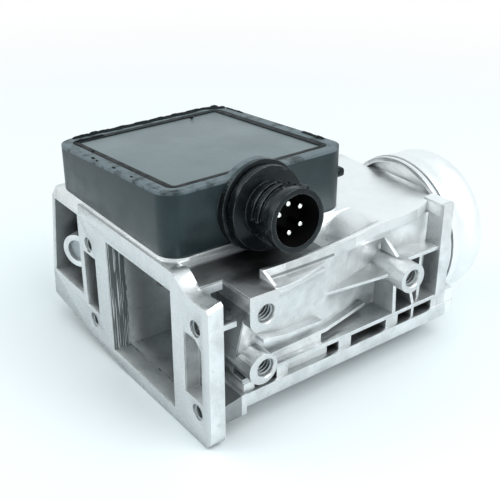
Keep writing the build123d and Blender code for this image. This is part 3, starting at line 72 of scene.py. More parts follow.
@dataclass
class Wiring:
    """Adds and joins the nodes of one shader tree."""

    tree: Tree

    mix_colours = (6, 7)  # where a Mix node takes its colours
    mix_result = 2  # where it gives the mixed one

    def add(self, kind: str, **settings: object) -> Node:
        """Adds one node.

        Args:
            kind: the node's type name.
            settings: properties to set on it.

        Returns:
            The new node.
        """
        node = self.tree.nodes.new(kind)
        for key, value in settings.items():
            setattr(node, key, value)
        return node

    def join(self, source: object, target: Socket) -> None:
        """Links an output to an input, or sets the input.

        Args:
            source: a socket, or the value that the input gets.
            target: the input.
        """
        if isinstance(source, Socket):
            self.tree.links.new(source, target)
        else:
            target.default_value = source

    def group(self, tree: Tree, place: Socket, **numbers: float) -> Node:
        """Adds a shared node group.

        Args:
            tree: the group.
            place: the coordinates.
            numbers: values of its other inputs.

        Returns:
            The group's node.
        """
        node = self.add("ShaderNodeGroup", node_tree=tree)
        self.join(place, node.inputs["Place"])
        for key, value in numbers.items():
            self.join(value, node.inputs[key])
        return node

    def value(self, operation: str, first: object, second: object, clamp: bool = False) -> Socket:
        """Adds a Math node.

        Args:
            operation: the Math node's operation.
            first: a socket or a number.
            second: a socket or a number.
            clamp: whether the result stays between 0 and 1.

        Returns:
            The result socket.
        """
        node = self.add("ShaderNodeMath", operation=operation, use_clamp=clamp)
        self.join(first, node.inputs[0])
        self.join(second, node.inputs[1])
        return node.outputs[0]

    def ramp(self, source: Socket, span: Span) -> Socket:
        """Stretches a value smoothly to between 0 and 1.

        Args:
            source: the value.
            span: what becomes 0 and what becomes 1.

        Returns:
            The result socket.
        """
        node = self.add("ShaderNodeMapRange", interpolation_type="SMOOTHSTEP")
        self.join(source, node.inputs["Value"])
        for key, value in zip(("From Min", "From Max"), span):
            self.join(value, node.inputs[key])
        return node.outputs["Result"]

    def blend(self, mask: Socket, first: object, second: object) -> Socket:
        """Mixes two colours.

        Args:
            mask: 0 gives the first, 1 the second.
            first: a colour or a socket.
            second: a colour or a socket.

        Returns:
            The mixed colour.
        """
        node = self.add("ShaderNodeMix", data_type="RGBA", clamp_factor=True)
        self.join(mask, node.inputs[0])
        for index, item in zip(self.mix_colours, (first, second)):
            self.join(item if isinstance(item, Socket) else (*item, 1.0), node.inputs[index])
        return node.outputs[self.mix_result]

    def cover(self, colour: object, over: Colour, mask: Socket, strength: float) -> Socket:
        """Lays a colour over another.

        Args:
            colour: the lower colour or its socket.
            over: the upper colour.
            mask: 1 where it is laid on.
            strength: how fully it covers there.

        Returns:
            The resulting colour.
        """
        return self.blend(self.value("MULTIPLY", mask, strength), colour, over)

    def cloud(self, place: Socket, scale: object, detail: float = 2.0) -> Node:
        """Adds a noise texture.

        Args:
            place: the coordinates.
            scale: lumps per metre, a number or a socket.
            detail: number of finer layers.

        Returns:
            The texture's node.
        """
        node = self.add("ShaderNodeTexNoise")
        self.join(place, node.inputs["Vector"])
        self.join(scale, node.inputs["Scale"])
        self.join(detail, node.inputs["Detail"])
        return node

    def noise(self, place: Socket, size_mm: float, detail: float) -> Socket:
        """Returns noise with lumps of a given size and a number of finer layers."""
        return self.cloud(place, 1.0 / (size_mm * MM), detail).outputs["Fac"]

    def axes(self, place: Socket) -> tuple[Socket, ...]:
        """Returns the x, y and z of a place, in metres."""
        node = self.add("ShaderNodeSeparateXYZ")
        self.join(place, node.inputs[0])
        return tuple(node.outputs)

    def within(self, place: Socket, low: Point, high: Point) -> Socket:
        """Makes a mask that is 1 inside a box.

        Args:
            place: the coordinates.
            low: the box's lowest corner in millimetres.
            high: the box's highest corner in millimetres.

        Returns:
            The mask.
        """
        mask = None
        for along, least, most in zip(self.axes(place), low, high):
            above = self.value("GREATER_THAN", along, least * MM)
            below = self.value("LESS_THAN", along, most * MM)
            both = self.value("MULTIPLY", above, below)
            mask = both if mask is None else self.value("MULTIPLY", mask, both)
        return mask

    def lines(self, place: Socket, stretch: Point, size_mm: float) -> Socket:
        """Adds noise that is drawn out into lines.

        Args:
            place: the coordinates.
            stretch: scale along each axis, small where the lines run.
            size_mm: width of a line.

        Returns:
            The noise value.
        """
        mapping = self.add("ShaderNodeMapping")
        self.join(stretch, mapping.inputs["Scale"])
        self.join(place, mapping.inputs["Vector"])
        return self.noise(mapping.outputs["Vector"], size_mm, 2.0)


class Groups:
    """Node groups that several finishes share, each built at its first use.

    A span holds the noise or depth that becomes 0 and the one that becomes 1.
    """

    grain_detail = 4.0
    patch_detail = 5.0
    patch_roughness = 0.62
    patch_lift = 1.6
    patch_span = (0.35, 0.68)
    edge_samples = 4
    edge_mm = 0.55
    edge_span = (0.02, 0.2)
    edge_clouds = 220.0
    edge_gaps = (0.35, 0.6)
    crevice_samples = 6
    crevice_clouds = 90.0
    crevice_uneven = 0.25
    crevice_span = (0.38, 0.95)
    stroke_turn = (0.5, 0.9, 0.35)
    stroke_squeeze = (1.0, 14.0, 9.0)
    stroke_clouds = 140.0
    stroke_span = (0.62, 0.72)

    @staticmethod
    def _start(name: str, inputs: list[str], outputs: list[str]) -> tuple[Wiring, Node, Node]:
        """Makes an empty group that takes a place.

        Args:
            name: the group's name.
            inputs: its number inputs.
            outputs: its number outputs.

        Returns:
            The group's wiring, its input node and its output node.
        """
        tree = bpy.data.node_groups.new(name, "ShaderNodeTree")
        tree.interface.new_socket(name="Place", in_out="INPUT", socket_type="NodeSocketVector")
        for side, keys in (("INPUT", inputs), ("OUTPUT", outputs)):
            for key in keys:
                tree.interface.new_socket(name=key, in_out=side, socket_type="NodeSocketFloat")
        wires = Wiring(tree)
        return wires, wires.add("NodeGroupInput"), wires.add("NodeGroupOutput")

    @classmethod
    @cache
    def grain(cls) -> Tree:
        """Returns the group for cast or moulded grain: a fine height and a coarse mask."""
        wires, start, end = cls._start("grain", ["Scale", "Coarse"], ["Height", "Mask"])
        place = start.outputs["Place"]
        fine = wires.cloud(place, start.outputs["Scale"], cls.grain_detail)
        coarse = wires.cloud(place, start.outputs["Coarse"], cls.patch_detail)
        wires.join(cls.patch_roughness, coarse.inputs["Roughness"])
        lift = wires.value("MULTIPLY", coarse.outputs["Fac"], cls.patch_lift)
        wires.join(wires.value("ADD", fine.outputs["Fac"], lift), end.inputs["Height"])
        wires.join(wires.ramp(coarse.outputs["Fac"], cls.patch_span), end.inputs["Mask"])
        return wires.tree

    @classmethod
    @cache
    def edges(cls) -> Tree:
        """Returns the group for rubbed edges that also carry a painted highlight: a mask that is 1
        along outer and inner corners.
        """
        wires, start, end = cls._start("edges", [], ["Mask"])
        rounded = wires.add("ShaderNodeBevel", samples=cls.edge_samples)
        wires.join(cls.edge_mm * MM, rounded.inputs["Radius"])
        shape = wires.add("ShaderNodeNewGeometry")
        turn = wires.add("ShaderNodeVectorMath", operation="DOT_PRODUCT")
        wires.join(rounded.outputs["Normal"], turn.inputs[0])
        wires.join(shape.outputs["Normal"], turn.inputs[1])
        bend = wires.value("SUBTRACT", 1.0, turn.outputs["Value"])
        corner = wires.ramp(bend, cls.edge_span)
        patchy = wires.cloud(start.outputs["Place"], cls.edge_clouds)
        gaps = wires.ramp(patchy.outputs["Fac"], cls.edge_gaps)
        wires.join(wires.value("MULTIPLY", corner, gaps), end.inputs["Mask"])
        return wires.tree

    @classmethod
    @cache
    def painted_recess_shade(cls) -> Tree:
        """Returns the group for painted shade in recesses: an ambient occlusion mask that is 1 deep
        inside a recess.
        """
        wires, start, end = cls._start("painted_recess_shade", ["Reach"], ["Mask"])
        near = wires.add("ShaderNodeAmbientOcclusion", samples=cls.crevice_samples)
        wires.join(start.outputs["Reach"], near.inputs["Distance"])
        hidden = wires.value("SUBTRACT", 1.0, near.outputs["AO"])
        clouds = wires.cloud(start.outputs["Place"], cls.crevice_clouds)
        centred = wires.value("SUBTRACT", clouds.outputs["Fac"], 0.5)
        uneven = wires.value("MULTIPLY", centred, cls.crevice_uneven)
        depth = wires.value("ADD", hidden, uneven)
        wires.join(wires.ramp(depth, cls.crevice_span), end.inputs["Mask"])
        return wires.tree

    @classmethod
    @cache
    def scratches(cls) -> Tree:
        """Returns the group for fine rubbed lines: a mask of thin broken strokes."""
        wires, start, end = cls._start("scratches", [], ["Mask"])
        squeeze = wires.add("ShaderNodeMapping")
        wires.join(cls.stroke_turn, squeeze.inputs["Rotation"])
        wires.join(cls.stroke_squeeze, squeeze.inputs["Scale"])
        wires.join(start.outputs["Place"], squeeze.inputs["Vector"])
        strokes = wires.cloud(squeeze.outputs["Vector"], cls.stroke_clouds)
        wires.join(wires.ramp(strokes.outputs["Fac"], cls.stroke_span), end.inputs["Mask"])
        return wires.tree


# ---- finishes


class Surface(Enum):
    """How a finish's fine relief runs."""

    GRAIN = "grain"
    TURNED = "turned"


@dataclass(frozen=True)
class Finish:
    """One plain procedural finish.

    The second colour lies in patches, and the roughness varies with them by the spread. Grain and
    depth are the size and the strength of the relief. The edge colour is partly rubbed wear and
    partly a painted highlight. Painted shade covers what has walls within reach. Specular and tint
    are the strength and the colour of the reflection of what is no metal.
    """

    name: str
    colour: Colour
    second: Colour
    metallic: float = 0.0
    roughness: float = 0.5
    spread: float = 0.12
    grain_mm: float = 0.8
    patch_mm: float = 12.0
    depth: float = 0.15
    # Edge colour: partly rubbed wear, partly a painted highlight.
    worn: Colour | None = None
    surface: Surface = Surface.GRAIN
    # Painted shade: a colour laid where ambient occlusion finds walls within reach.
    recess_shade: Colour | None = None
    reach_mm: float = 20.0
    recess_shade_strength: float = 0.9
    specular: float = 0.5
    tint: Colour = WHITE

    # The same for all finishes, so they are no fields.
    scratch_shine = -0.04
    bump_mm = 0.3
    turned_stretch = (1.0, 1.0, 20.0)
    turned_mm = 3.0
    turned_height = 1.5

    @cache
    def build(self) -> bpy.types.Material:
        """Returns the finish's material, made at its first use."""
        material = bpy.data.materials.new(self.name)
        material.use_nodes = True
        wires = Wiring(material.node_tree)
        place = wires.add("ShaderNodeTexCoord").outputs["Object"]
        scales = {"Scale": 1.0 / (self.grain_mm * MM), "Coarse": 1.0 / (self.patch_mm * MM)}
        grain = wires.group(Groups.grain(), place, **scales).outputs
        bump = wires.add("ShaderNodeBump")
        wires.join(self.depth, bump.inputs["Strength"])
        wires.join(self.bump_mm * MM, bump.inputs["Distance"])
        wires.join(self._relief(wires, place, grain["Height"]), bump.inputs["Height"])
        shader = material.node_tree.nodes["Principled BSDF"]
        for key, item in (
            ("Base Color", self._all_colour(wires, place, grain["Mask"])),
            ("Roughness", self._all_roughness(wires, place, grain["Mask"])),
            ("Metallic", self.metallic),
            ("Specular IOR Level", self.specular),
            ("Specular Tint", (*self.tint, 1.0)),
            ("Normal", bump.outputs["Normal"]),
        ):
            wires.join(item, shader.inputs[key])
        return material

    def _all_colour(self, wires: Wiring, place: Socket, patches: Socket) -> Socket:
        """Returns the whole colour, which varies with the grain's patches."""
        colour = self._extra(wires, place, wires.blend(patches, self.colour, self.second))
        # Lighter edges: partly rubbed wear, partly a painted highlight.
        if self.worn is not None:
            edges = wires.group(Groups.edges(), place)
            colour = wires.blend(edges.outputs["Mask"], colour, self.worn)
        # Painted shade in recesses, masked by ambient occlusion.
        if self.recess_shade is not None:
            painted_recess_shade = wires.group(Groups.painted_recess_shade(), place, Reach=self.reach_mm * MM)
            colour = wires.cover(colour, self.recess_shade, painted_recess_shade.outputs["Mask"], self.recess_shade_strength)
        return colour

    def _all_roughness(self, wires: Wiring, place: Socket, patches: Socket) -> Socket:
        """Returns the whole roughness, which varies with the grain's patches."""
        rough = wires.value("MULTIPLY", patches, self.spread)
        rough = wires.value("ADD", rough, self.roughness - self.spread / 2)
        scratches = wires.group(Groups.scratches(), place)
        rubbed = wires.value("MULTIPLY", scratches.outputs["Mask"], self.scratch_shine)
        rough = wires.value("ADD", rough, rubbed, clamp=True)
        return self._extra_roughness(wires, place, rough)

    def _extra(self, wires: Wiring, place: Socket, colour: Socket) -> Socket:
        """Returns the colour with anything a special finish adds to it."""
        return colour

    def _extra_roughness(self, wires: Wiring, place: Socket, rough: Socket) -> Socket:
        """Returns the roughness with anything a special finish adds to it."""
        return rough

    def _relief(self, wires: Wiring, place: Socket, grain: Socket) -> Socket:
        """Returns the height of the relief, made from the grain's height."""
        if self.surface is Surface.GRAIN:
            return grain
        lines = wires.lines(place, self.turned_stretch, self.turned_mm)
        return wires.value("ADD", wires.value("MULTIPLY", lines, self.turned_height), grain)


@dataclass(frozen=True)
class Blotches:
    """Noise that makes blotches.

    Attributes:
        size_mm: size of a lump.
        detail: number of finer layers.
        span: the noise at which a blotch starts and is full.
        strength: how fully it covers.
    """

    size_mm: float
    detail: float
    span: Span
    strength: float

    def mask(self, wires: Wiring, place: Socket) -> Socket:
        """Returns the blotches' mask at a place."""
        clouds = wires.ramp(wires.noise(place, self.size_mm, self.detail), self.span)
        return wires.value("MULTIPLY", clouds, self.strength)


@dataclass(frozen=True)
class CastMetal(Finish):
    """Blasted die-cast metal with stains, milled faces, a painted sheen on the outlet and the
    deck's rear, and boxes of painted shade in its pockets and corners.

    Each box of painted shade has its lowest and its highest corner, and how fully it covers there.
    """

    milled: Colour = (0.60, 0.617, 0.622)
    stain: Colour = (0.30, 0.32, 0.33)
    # Painted sheen: the pale colour laid on the outlet and on the rear of the deck.
    turned: Colour = (0.93, 0.945, 0.95)
    # Painted shade: the dark colour laid in the boxes below.
    painted_shade_colour: Colour = (0.055, 0.062, 0.066)
    # Painted shade on the duct's left wall strip near the inlet.
    wall_strip_shade: Colour = (0.11, 0.128, 0.132)
    streak: Colour = (0.86, 0.88, 0.885)
    seam: Colour = (0.02, 0.022, 0.023)
    stains: Blotches = Blotches(22.0, 8.0, (0.52, 0.78), 0.35)
    specks: Blotches = Blotches(2.6, 2.0, (0.63, 0.74), 0.25)
    painted_shade_boxes: tuple[tuple[Point, Point, float], ...] = (
        # Painted shade on the left pocket's outer wall, in four steps up its slope, and on its
        # back.
        ((-78.9, 0.8, -9.2), (-70.0, 31.0, 0.0), 0.82),
        ((-77.4, 0.8, 0.0), (-70.0, 31.0, 10.0), 0.82),
        ((-75.7, 0.8, 10.0), (-70.0, 31.0, 20.0), 0.82),
        ((-74.0, 0.8, 20.0), (-70.0, 31.0, 29.8), 0.82),
        ((-70.0, 14.0, -9.3), (-47.0, 31.0, 29.8), 0.75),
        # Painted shade and painted dark reflection on the deck under the plug.
        ((21.9, 6.0, 30.6), (53.0, 62.0, 31.8), 0.62),
        # Painted shade between the flange and the front bosses, and on the upper boss.
        ((32.0, 6.6, -27.5), (49.4, 15.0, 24.6), 0.62),
        ((32.0, 15.0, -11.0), (53.05, 16.4, 24.6), 0.62),
        # Painted shade inside the duct and the flange's right slot.
        ((-25.2, 0.8, -26.0), (25.2, 70.0, 26.8), 0.24),
        ((33.2, 0.9, -13.0), (45.2, 6.3, 12.4), 0.42),
        # Painted shade that tones down the deck's lip, and on the lower front boss.
        ((38.0, 38.0, 29.6), (48.0, 112.0, 34.9), 0.20),
        ((42.0, 16.3, -9.5), (52.9, 20.5, 3.0), 0.40),
    )
    # Where the painted sheen lies: the outlet past this y, and the rear of the deck in the box
    # below.
    sheen_from_mm: float = 128.0
    deck_low: Point = (-30.0, 57.0, 30.4)
    deck_high: Point = (44.0, 128.0, 37.0)
    sheen_strength: float = 0.8
    flange_face_mm: float = 0.06
    boss_face_mm: float = 53.2
    milled_strength: float = 0.8
    milled_shine: float = -0.1
    wall_low: Point = (-25.3, 0.6, -26.0)
    wall_high: Point = (-24.5, 8.3, 26.9)
    wall_shade_strength: float = 0.85
    streak_stretch: Point = (1.0, 1.0, 0.022)
    streak_mm: float = 0.45
    streak_span: Span = (0.55, 0.62)
    seam_low: Point = (-25.6, 8.05, -26.6)
    seam_high: Point = (25.3, 8.45, -24.9)

    def _extra(self, wires: Wiring, place: Socket, colour: Socket) -> Socket:
        """Returns the colour with stains, painted sheen and painted shade, the duct's streaks and
        seam, and milled faces.
        """
        for blotches in (self.stains, self.specks):
            colour = wires.blend(blotches.mask(wires, place), colour, self.stain)
        # The duct's left wall strip near the inlet is darkened as painted shade; light streaks are
        # drawn over it.
        wall = wires.within(place, self.wall_low, self.wall_high)
        colour = wires.cover(colour, self.wall_strip_shade, wall, self.wall_shade_strength)
        # Painted sheen on the outlet and on the rear of the deck.
        outlet = wires.value("GREATER_THAN", wires.axes(place)[1], self.sheen_from_mm * MM)
        pale = wires.value("MAXIMUM", outlet, wires.within(place, self.deck_low, self.deck_high))
        colour = wires.cover(colour, self.turned, pale, self.sheen_strength)
        # Painted shade, box by box.
        for low, high, strength in self.painted_shade_boxes:
            colour = wires.cover(colour, self.painted_shade_colour, wires.within(place, low, high), strength)
        lines = wires.lines(place, self.streak_stretch, self.streak_mm)
        streaks = wires.value("MULTIPLY", wires.ramp(lines, self.streak_span), wall)
        colour = wires.blend(streaks, colour, self.streak)
        seam = wires.within(place, self.seam_low, self.seam_high)
        colour = wires.blend(seam, colour, self.seam)
        return wires.cover(
            colour, self.milled, self._milled_mask(wires, place), self.milled_strength
        )

    def _extra_roughness(self, wires: Wiring, place: Socket, rough: Socket) -> Socket:
        """Returns the roughness, lower on the milled faces."""
        smoother = wires.value("MULTIPLY", self._milled_mask(wires, place), self.milled_shine)
        return wires.value("ADD", rough, smoother, clamp=True)

    def _milled_mask(self, wires: Wiring, place: Socket) -> Socket:
        """Returns a mask that is 1 on the flange face and on the bracket bosses' faces."""
        x, y, _ = wires.axes(place)
        flange = wires.value("LESS_THAN", y, self.flange_face_mm * MM)
        boss = wires.value("GREATER_THAN", x, self.boss_face_mm * MM)
        return wires.value("MAXIMUM", flange, boss)


@dataclass(frozen=True)
class CaseMoulding(Finish):
    """Black moulding whose top rim is rough, with a greyer painted sheen in patches on its top
    face.
    """

    # Painted sheen on the rim's top face, laid in patches.
    rim: Colour = (0.115, 0.145, 0.158)
    rim_span_mm: Span = (-1.5, -0.9)  # from the rim's plane
    rim_end_mm: float = 21.9
    rim_rough: float = 0.22
    sheen_patches: Blotches = Blotches(5.0, 6.0, (0.30, 0.56), 1.0)

    def _rim_mask(self, wires: Wiring, place: Socket) -> Socket:
        """Returns a mask that is 1 on the rim's top face."""
        x, _, z = wires.axes(place)
        height = wires.value("ADD", z, wires.value("MULTIPLY", x, -math.tan(TILT)))
        low, high = self.rim_span_mm
        top = wires.ramp(height, ((RIM_MM + low) * MM, (RIM_MM + high) * MM))
        before = wires.value("LESS_THAN", x, self.rim_end_mm * MM)
        return wires.value("MULTIPLY", top, before)

    def _extra(self, wires: Wiring, place: Socket, colour: Socket) -> Socket:
        """Returns the colour with the painted sheen on the rim's top."""
        sheen_patches = self.sheen_patches.mask(wires, place)
        rim_sheen = wires.value("MULTIPLY", self._rim_mask(wires, place), sheen_patches)
        return wires.blend(rim_sheen, colour, self.rim)

    def _extra_roughness(self, wires: Wiring, place: Socket, rough: Socket) -> Socket:
        """Returns the roughness, higher on the rim."""
        rougher = wires.value("MULTIPLY", self._rim_mask(wires, place), self.rim_rough)
        return wires.value("ADD", rough, rougher, clamp=True)


@dataclass(frozen=True)
class PinMetal(Finish):
    """Tinned pins whose shanks inside the socket carry a painted dark reflection of the socket."""

    # Painted dark reflection of the socket on the shanks.
    shank_shade: Colour = (0.035, 0.037, 0.038)
    tip_mm: float = 42.6
    fade_mm: float = 0.25

    def _extra(self, wires: Wiring, place: Socket, colour: Socket) -> Socket:
        """Returns the colour with the painted dark reflection on the shanks."""
        x, _, z = wires.axes(place)
        out = wires.value("MULTIPLY", x, math.cos(TILT))
        rise = wires.value("SUBTRACT", z, SOCKET_AT[2] * MM)
        up = wires.value("MULTIPLY", rise, math.sin(TILT))
        fade = (self.tip_mm * MM, (self.tip_mm + self.fade_mm) * MM)
        tip = wires.ramp(wires.value("ADD", out, up), fade)
        return wires.blend(tip, self.shank_shade, colour)


small_metal = partial(Finish, metallic=1.0, spread=0.1, grain_mm=0.5, patch_mm=6.0, depth=0.05)
nonmetal = partial(Finish, spread=0.1, grain_mm=0.9, patch_mm=8.0, depth=0.08)

CAST = CastMetal(
    "cast_aluminium", (0.80, 0.817, 0.822), (0.66, 0.676, 0.682), metallic=1.0, roughness=0.38,
    # Its lighter edges are partly wear, partly a painted highlight.
    spread=0.16, grain_mm=0.7, patch_mm=9.0, depth=0.34, worn=(0.93, 0.94, 0.945),
    # Painted shade in the casting's recesses.
    recess_shade=(0.085, 0.096, 0.101), recess_shade_strength=0.74,
)
FLAP_CAST = Finish(
    "flap_casting", (0.66, 0.71, 0.72), (0.57, 0.61, 0.62), metallic=1.0, roughness=0.42,
    # Painted shade in the flap's recesses.
    grain_mm=0.7, depth=0.18, recess_shade=(0.20, 0.22, 0.23), reach_mm=30.0,
)
CUP = Finish(
    "pressed_cup", (0.42, 0.46, 0.475), (0.36, 0.395, 0.41), metallic=1.0, roughness=0.42,
    grain_mm=0.7, patch_mm=6.0, depth=0.12,
)
# Darker than the casting the threads are cut in: painted shade inside the tapped holes.
THREAD = small_metal("cut_thread", (0.34, 0.37, 0.38), (0.26, 0.28, 0.29), roughness=0.32)
STEEL = small_metal("plated_steel", (0.60, 0.61, 0.62), (0.50, 0.50, 0.50), roughness=0.30)
GROUND = small_metal(
    "ground_steel", (0.66, 0.66, 0.67), (0.58, 0.58, 0.59), roughness=0.22, spread=0.08,
    surface=Surface.TURNED,
)
BRASS = small_metal(
    "turned_brass", (0.70, 0.52, 0.24), (0.58, 0.42, 0.18), roughness=0.30, surface=Surface.TURNED
)
COPPER = small_metal("copper_strip", (0.72, 0.38, 0.24), (0.58, 0.30, 0.18), roughness=0.33)
PIN = PinMetal(
    "tinned_pin", (0.92, 0.92, 0.90), (0.85, 0.85, 0.83), metallic=1.0, roughness=0.25,
    spread=0.08, grain_mm=0.4, patch_mm=3.0, depth=0.04,
)
CASE = CaseMoulding(
    "case_moulding", (0.0050, 0.0100, 0.0125), (0.010, 0.0165, 0.020), roughness=0.35,
    # Its lighter edges are partly wear, partly a painted highlight.
    grain_mm=0.9, patch_mm=10.0, depth=0.10, worn=(0.10, 0.11, 0.115),
    # Painted shade in the moulding's recesses.
    recess_shade=(0.003, 0.003, 0.004), reach_mm=7.0, tint=(0.74, 0.96, 1.0),
)
# A darker, less shiny copy of the case moulding: painted shade on the plug socket and its rear
# catch, with lighter rib edges as a painted highlight.
BARREL = nonmetal(
    "socket_moulding", (0.003, 0.004, 0.0045), (0.007, 0.009, 0.010), roughness=0.27,
    spread=0.08, patch_mm=10.0, depth=0.10, worn=(0.16, 0.18, 0.19), specular=0.26,
    tint=(0.80, 0.94, 1.0),
)
BORE = nonmetal(
    "socket_bore", (0.002, 0.002, 0.002), (0.004, 0.004, 0.004), roughness=0.7, specular=0.06
)
PLUG = nonmetal("plug_moulding", (0.013, 0.013, 0.014), (0.020, 0.020, 0.021), roughness=0.36)
PALE_PLASTIC = nonmetal(
    "hub_plastic", (0.42, 0.38, 0.27), (0.36, 0.32, 0.22), roughness=0.45, grain_mm=0.8, depth=0.1
)
CERAMIC = nonmetal(
    "ceramic", (0.76, 0.75, 0.70), (0.70, 0.69, 0.63), roughness=0.35, grain_mm=0.8,
    patch_mm=10.0, depth=0.05,
)
TRACK = nonmetal(
    "printed_track", (0.018, 0.018, 0.02), (0.03, 0.03, 0.03), roughness=0.28, spread=0.05,
    grain_mm=0.6, patch_mm=5.0, depth=0.05,
)
RUBBER = nonmetal(
    "stop_rubber", (0.022, 0.022, 0.022), (0.032, 0.032, 0.032), roughness=0.7, grain_mm=0.5,
    patch_mm=6.0, depth=0.2,
)
SEALANT = Finish(
    "black_sealant", (0.003, 0.0035, 0.004), (0.008, 0.009, 0.010), spread=0.2, grain_mm=1.2,
    patch_mm=5.0, depth=0.4, specular=0.12, tint=(0.70, 0.95, 1.0),
)
LID = Finish(
    "lid_satin", (0.165, 0.205, 0.215), (0.145, 0.180, 0.190), metallic=0.35, roughness=0.40,
    # Its lighter edges are partly wear, partly a painted highlight.
    spread=0.08, grain_mm=0.5, patch_mm=40.0, depth=0.05, worn=(0.25, 0.28, 0.29),
)

NODE_FINISHES: dict[Finish, tuple[str, ...]] = {
    CAST: ("meter_body", "bottom_cover"),
    STEEL: (
        "bottom_cover_screws", "bearing_plug", "flap_screws", "case_screws", "spring_lock",
        "spring_lock_screw", "counterweight_screw", "board_screws",
    ),
    BRASS: (
        "lower_bearing", "upper_bearing", "bypass_screw", "spring_collet", "wiper_arm",
        "wiper_contacts",
    ),
    GROUND: ("shaft_washer", "flap_shaft", "return_spring"),
    FLAP_CAST: ("flap", "counterweight"),
    RUBBER: ("bypass_seal_ring", "stop_bumpers"),
    CUP: ("tamper_plug",),
    PLUG: ("temperature_sensor", "spring_wheel"),
    PIN: ("temperature_sensor_leads", "connector_pins"),
    CASE: ("case",),
    LID: ("lid",),
    SEALANT: ("lid_sealant",),
    BORE: ("connector_insert",),
    PALE_PLASTIC: ("wiper_hub",),
    CERAMIC: ("potentiometer_board",),
    TRACK: ("potentiometer_track",),
    COPPER: ("lead_strip",),
}


def paint(piece: Piece, finish: Finish) -> None:
    """Puts a finish on the whole of a piece."""
    piece.data.materials.clear()
    piece.data.materials.append(finish.build())


def dress_nodes() -> None:
    """Puts the listed finish on each CAD node's slots."""
    for finish, names in NODE_FINISHES.items():
        for name in names:
            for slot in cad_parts[name].material_slots:
                slot.link = "OBJECT"
                slot.material = finish.build()


# ---- modelling tools

MERGE_MM = 0.002  # CAD corners nearer than this are one
FLAT_DEG = 0.4  # faces that meet at less are joined
SHARP_DEG = 32.0  # CAD edges that turn more are rounded
SMOOTH_DEG = 35.0  # edges that turn less are shaded smooth


def deselect() -> None:
    """Leaves object mode with nothing selected."""
    if bpy.context.object and bpy.context.object.mode != "OBJECT":
        bpy.ops.object.mode_set(mode="OBJECT")
    bpy.ops.object.select_all(action="DESELECT")


def pick(piece: Piece) -> None:
    """Makes a piece the only selected and active object."""
    deselect()
    piece.select_set(True)
    bpy.context.view_layer.objects.active = piece


@contextmanager
def editing(piece: Piece) -> Iterator[None]:
    """Opens a piece in edit mode with all of it selected, and closes it after the block."""
    pick(piece)
    bpy.ops.object.mode_set(mode="EDIT")
    bpy.ops.mesh.select_all(action="SELECT")
    yield
    bpy.ops.object.mode_set(mode="OBJECT")


def settle(piece: Piece, smooth_deg: float = SMOOTH_DEG) -> Piece:
    """Bakes a piece's place into its mesh and smooths its faces.

    Args:
        piece: the piece.
        smooth_deg: edges sharper than this stay sharp.

    Returns:
        The same piece.
    """
    pick(piece)
    bpy.ops.object.transform_apply(location=True, rotation=True, scale=True)
    bpy.ops.object.shade_smooth_by_angle(angle=math.radians(smooth_deg))
    deselect()
    return piece


def apply_modifier(piece: Piece, kind: str, **settings: object) -> None:
    """Adds a modifier with its settings and applies it.

    Args:
        piece: the piece.
        kind: the modifier's type.
        settings: its properties.
    """
    pick(piece)
    modifier = piece.modifiers.new(kind.lower(), kind)
    for key, value in settings.items():
        setattr(modifier, key, value)
    bpy.ops.object.modifier_apply(modifier=modifier.name)


def soften(piece: Piece, width_mm: float, segments: int, **settings: object) -> None:
    """Rounds a piece's sharp edges.

    Args:
        piece: the piece.
        width_mm: how wide the rounding is.
        segments: how many strips it has.
        settings: other properties of the modifier.
    """
    shape = {"width": width_mm * MM, "segments": segments, "limit_method": "ANGLE"}
    apply_modifier(piece, "BEVEL", **shape, **settings)


def softened(node: str, name: str, width_mm: float) -> Piece:
    """Copies a CAD node, joins up its faces and rounds its sharp edges a little.

    Args:
        node: the CAD node.
        name: the copy's name.
        width_mm: how wide the rounding is.

    Returns:
        The rounded copy, which stands for the node.
    """
    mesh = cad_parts[node].data.copy()
    mesh.name = name
    piece = bpy.data.objects.new(name, mesh)
    bpy.context.scene.collection.objects.link(piece)
    with editing(piece):
        bpy.ops.mesh.remove_doubles(threshold=MERGE_MM * MM)
        bpy.ops.mesh.dissolve_limited(angle_limit=math.radians(FLAT_DEG))
    soften(piece, width_mm, 2, angle_limit=math.radians(SHARP_DEG))
    settle(piece)
    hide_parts(node)
    return piece


def rounded_block(name: str, low: Point, high: Point, width_mm: float, segments: int) -> Piece:
    """Models a block with rounded edges.

    Args:
        name: its name.
        low: its lowest corner in millimetres.
        high: its highest corner in millimetres.
        width_mm: how wide the rounding is.
        segments: how many strips the rounding has.

    Returns:
        The block.
    """
    first, last = metres(low), metres(high)
    deselect()
    bpy.ops.mesh.primitive_cube_add(size=1.0, location=(first + last) / 2)
    piece = bpy.context.object
    piece.name = name
    piece.scale = last - first
    bpy.ops.object.transform_apply(location=True, rotation=True, scale=True)
    soften(piece, width_mm, segments)
    return settle(piece)


# ---- sub-assemblies


